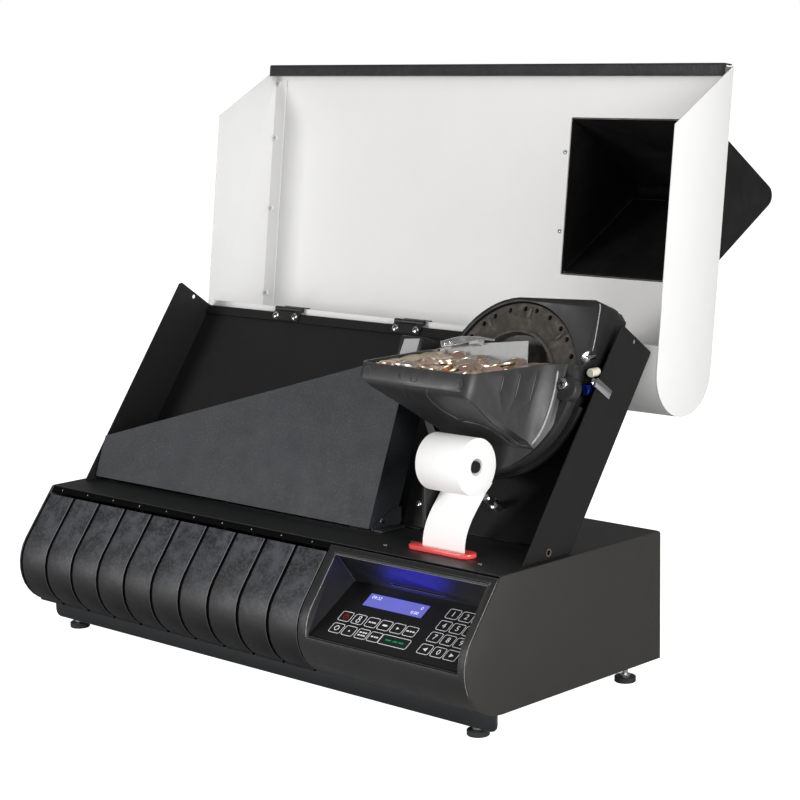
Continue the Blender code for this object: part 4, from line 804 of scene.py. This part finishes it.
marks = Build()
C1 = C0 + 0.06
for (x, w), s in zip(nums, ("1", "2", "3", "4", "5", "6", "7", "8", "9", None, "0", None)):
    if s:
        marks.text(FLOORF, x, w, C1, s, 9.4, 0.06)


def arrow(b, x, w, s, direction):
    b.prism(FLOORF, [(x - 0.62 * s * direction, w + s * 0.72), (x - 0.62 * s * direction, w - s * 0.72), (x + 0.78 * s * direction, w)], C1 - 0.02, C1 + 0.04)


arrow(marks, 624.0, 18.4, 3.6, -1)
arrow(marks, 658.5, 18.4, 3.6, 1)
arrow(marks, 574.3, 35.2, 2.5, 1)


def bars(b, x, w, rows, width):
    """Short rules where the key has a small legend."""
    for k in range(rows):
        y = w + (rows - 1) * 1.9 - k * 3.8
        parts = (0.0, 0.30, 0.42, 0.66, 0.74, 1.0)
        for p, q in zip(parts[::2], parts[1::2]):
            b.prism(FLOORF, rect(x - width / 2 + width * p, x - width / 2 + width * q, y - 0.85, y + 0.85), C1 - 0.02, C1 + 0.04)


def loop(b, x, w, r, t0, t1, wd=0.9, n=14):
    pts = [(x + r * cs(math.radians(t0 + (t1 - t0) * i / n)), w + r * sn(math.radians(t0 + (t1 - t0) * i / n))) for i in range(n + 1)]
    inner = [(x + (r - wd) * cs(math.radians(t0 + (t1 - t0) * i / n)), w + (r - wd) * sn(math.radians(t0 + (t1 - t0) * i / n))) for i in range(n + 1)]
    b.prism(FLOORF, pts + inner[::-1], C1 - 0.02, C1 + 0.04)


bars(marks, 539.2, 35.2, 1, 9.5)
marks.prism(FLOORF, rect(553.6, 559.8, 34.1, 36.3), C1 - 0.02, C1 + 0.04)
bars(marks, 591.6, 35.2, 1, 11.0)
loop(marks, 520.5, 33.4, 2.7, 0, 359)
loop(marks, 520.5, 37.8, 2.1, -60, 240)
loop(marks, 502.7, 18.6, 3.3, 40, 210)
loop(marks, 502.7, 18.6, 3.3, 220, 390)
marks.turned(FLOORF, 520.3, 18.4, [(0, C1 - 0.02), (1.0, C1 - 0.02), (1.0, C1 + 0.04), (0, C1 + 0.04)], 12)
bars(marks, 538.6, 18.4, 2, 10.0)
bars(marks, 555.8, 18.4, 1, 9.5)
marks.done("key_marks", INK, "base", smooth=0, slot="foil")
rm = Build()
loop(rm, 502.1, 35.2, 3.3, 120, 420)
rm.prism(FLOORF, rect(501.6, 502.6, 35.4, 39.4), C1 - 0.02, C1 + 0.04)
rm.done("red_key_mark", INK_RED, "base", smooth=0, slot="foil")
gm = Build()
bars(gm, 582.8, 18.4, 1, 24.0)
gm.done("green_key_mark", INK_GREEN, "base", smooth=0, slot="foil")

screen = Build().prism(FLOORF, rect(509.4, 590.2, 54.4, 71.6), 0.12, 0.34)
screen.done("display_face", SCREEN, "base", smooth=0, slot="display")
digits = Build()
digits.text(FLOORF, 520.5, 66.9, 0.36, "09:32", 5.6, 0.04, 1.08)
digits.text(FLOORF, 583.2, 66.4, 0.36, "0", 5.6, 0.04, 1.05)
digits.text(FLOORF, 578.4, 59.0, 0.36, "0.00", 5.6, 0.04, 1.08)
digits.done("display_digits", GLYPH, "base", smooth=0, slot="display")

# ------------------------------------------------------------------ coins in the bowl
rng = random.Random(7)


def coin_profile(r, h):
    return [(0, -h * 0.32), (r * 0.84, -h * 0.32), (r * 0.88, -h * 0.5), (r * 0.97, -h * 0.5), (r, -h * 0.38), (r, h * 0.38), (r * 0.97, h * 0.5), (r * 0.88, h * 0.5), (r * 0.84, h * 0.32), (0, h * 0.32)]


def heap_height(x, y):
    """Top of the heap over the bowl, mm."""
    u, v = (x - 556) / 80.0, (y - 112) / 46.0
    back = max(0.0, min(1.0, (y - 110) / 40.0))
    return 320.0 + 2.2 * max(0.0, 1 - u * u) * max(0.0, 1 - 0.6 * v * v) + 1.2 * sn(x * 0.11) * cs(y * 0.13) - 1.8 * back


def coin_metal(name, colour, dark, rough=0.34):
    m = Mat(name, colour, rough, 1.0)
    geo_noise = m.noise(260, 5.0, 0.7)
    m.tint(m.ramp(geo_noise, 0.52, 0.78), dark, 0.55)
    m.tint(m.ramp(m.noise(900, 3.0), 0.6, 0.8), tuple(min(1, c * 1.25) for c in colour), 0.5)
    m.bump(m.noise(700, 4.0, 0.65), 0.5, 0.00010)
    m.vary_rough(m.noise(300, 3.0), rough - 0.1, rough + 0.14)
    return m


COPPER = coin_metal("copper_coins", (0.80, 0.57, 0.46), (0.24, 0.12, 0.07), 0.37)
BRASS = coin_metal("brass_coins", (0.80, 0.68, 0.50), (0.28, 0.21, 0.12), 0.37)
NICKEL = coin_metal("nickel_coins", (0.84, 0.77, 0.71), (0.28, 0.25, 0.22), 0.36)
piles = {"copper": (Build(), COPPER), "brass": (Build(), BRASS), "nickel": (Build(), NICKEL)}


def clear_of_bowl(x, y, z):
    """Whether a point is off the bowl's walls, or above its rim, and in front of the baffle."""
    ry, rz = y - 98.5, z - 140.4
    e = -ry * cs(TILT) + rz * sn(TILT)
    q = ry * sn(TILT) + rz * cs(TILT)
    if e < -18.0 and x < 616 or e < -26.0:
        return False
    if z > 324.2:
        return 479 < x < 650 and e < 100
    right = 645.2 if e < 14 else 645.2 - (e - 14) * 5 / 26 if e < 40 else 640.2 - (e - 40) * 8.5 / 40
    if not (485.4 < x < right) or e > 91.0:
        return False
    if x > 620.5 and e > 80 and math.hypot(x - 620.5, e - 80) > 11.0:
        return False
    if x < 494.4 and e > 82 and math.hypot(x - 494.4, e - 82) > 9.0:
        return False
    return q > 153.5 - (x - 482.3) * 0.675


def coins():
    kinds = [("copper", 9.4, 1.9), ("copper", 10.6, 1.9), ("brass", 9.9, 2.0), ("brass", 12.1, 2.3), ("nickel", 11.6, 2.1), ("nickel", 12.6, 2.1), ("copper", 8.4, 1.8), ("brass", 11.1, 2.0), ("nickel", 10.0, 1.9)]
    for drop, count, tilt, need in ((9.0, 70, 5, 0.66), (6.2, 95, 7, 0.58), (4.2, 110, 9, 0.60), (2.4, 100, 12, 0.66), (0.9, 70, 14, 0.76), (-0.4, 30, 17, 1.0)):
        tries = 0
        here = []
        while len(here) < count and tries < 5200:
            tries += 1
            kind, r, h = kinds[rng.randrange(len(kinds))]
            x, y = rng.uniform(488, 642), rng.uniform(70, 182)
            if any((x - a) ** 2 + (y - b) ** 2 < (need * (r + q)) ** 2 for a, b, q in here):
                continue
            z = heap_height(x, y) - drop + rng.uniform(-0.9, 0.9)
            ta, tm = rng.uniform(0, 2 * math.pi), math.radians(min(62, abs(rng.gauss(0, tilt))))
            # the coins slide towards the disc, so they lean a little that way
            nrm = Vector((sn(tm) * cs(ta), sn(tm) * sn(ta) - 0.10, cs(tm))).normalized()
            side = nrm.orthogonal().normalized()
            other = nrm.cross(side)
            ok = True
            for i in range(14):
                t = 2 * math.pi * i / 14
                w = Vector((x, y, z)) + (side * cs(t) + other * sn(t)) * (r + 0.3)
                if w.z > 331 or not clear_of_bowl(*w) or not clear_of_bowl(w.x, w.y, w.z - h * 0.6):
                    ok = False
                    break
            if not ok:
                continue
            here.append((x, y, r))
            piles[kind][0].turned(Frame((x, y, z), side, other, nrm), 0, 0, coin_profile(r, h), 28)


coins()
for kind, (b, mat) in piles.items():
    b.done(f"coins_{kind}", mat, "base", smooth=25)

# ------------------------------------------------------------------ light and floor
def floor():
    """Pale sweep: the view of it is white, and what it throws back on the machine is modest."""
    me = bpy.data.meshes.new("floor")
    bm = bmesh.new()
    s = 30.0
    bm.faces.new([bm.verts.new(v) for v in ((-s, -s, 0), (s, -s, 0), (s, s, 0), (-s, s, 0))])
    bm.to_mesh(me)
    bm.free()
    m = Mat("pale_floor", (0.74, 0.74, 0.74), 0.9, spec=0.1)
    m.tint(m.ramp(m.noise(3.0, 2.0), 0.4, 0.7), (0.72, 0.72, 0.72), 0.5)
    m.b.inputs["Emission Color"].default_value = (1, 1, 1, 1)
    path = m.n("ShaderNodeLightPath")
    m.link(m.math("MULTIPLY", path.outputs["Is Camera Ray"], val=1.05), m.b.inputs["Emission Strength"])
    me.materials.append(m.m)
    ob = bpy.data.objects.new("floor", me)
    col.objects.link(ob)


floor()
world = bpy.data.worlds.new("studio")
scene.world = world
world.use_nodes = True
wt = world.node_tree
bg = wt.nodes["Background"]
bg.inputs["Color"].default_value = (1, 1, 1, 1)
wp = wt.nodes.new("ShaderNodeLightPath")
wm = wt.nodes.new("ShaderNodeMapRange")
wm.inputs["To Min"].default_value = 0.19
wm.inputs["To Max"].default_value = 1.0
wt.links.new(wp.outputs["Is Camera Ray"], wm.inputs["Value"])
wt.links.new(wm.outputs["Result"], bg.inputs["Strength"])


def area(name, loc, target, size, share, colour=(1, 1, 1)):
    """Soft box whose light on a face turned to it equals share of a white surrounding."""
    li = bpy.data.lights.new(name, "AREA")
    li.shape = "RECTANGLE"
    li.size, li.size_y = size
    d = Vector(target) - Vector(loc)
    li.energy = share * math.pi ** 2 * d.length_squared
    li.color = colour
    ob = bpy.data.objects.new(name, li)
    ob.location = loc
    ob.rotation_euler = d.to_track_quat("-Z", "Y").to_euler()
    col.objects.link(ob)
    return ob


area("key_left", (-1.7, -3.1, 0.85), (0, 0, 0.3), (1.1, 0.9), 0.46, (1.0, 0.99, 0.98))
area("fill_right", (3.1, -0.9, 1.0), (0, 0, 0.3), (1.6, 1.4), 0.80, (1.0, 0.995, 0.985))
area("low_front", (1.0, -2.7, 0.14), (0.1, 0, 0.25), (1.9, 0.5), 0.08, (1.0, 0.995, 0.985))


def glow():
    """The display's own light on the recess walls behind and beside it."""
    src = P(FLOORF.at(556, 66, 5.0))
    for name, target, size, watts in (("display_glow", P((556, 54, 120)), (0.075, 0.014), 0.024), ("display_glow_side", P((476, 30, 98)), (0.020, 0.012), 0.004)):
        li = bpy.data.lights.new(name, "AREA")
        li.shape = "RECTANGLE"
        li.size, li.size_y = size
        li.energy = watts
        li.color = (0.035, 0.030, 1.0)
        ob = bpy.data.objects.new(name, li)
        ob.location = src
        ob.rotation_euler = (target - src).to_track_quat("-Z", "Y").to_euler()
        col.objects.link(ob)


glow()
scene.view_settings.view_transform = "Standard"

bpy.context.view_layer.update()
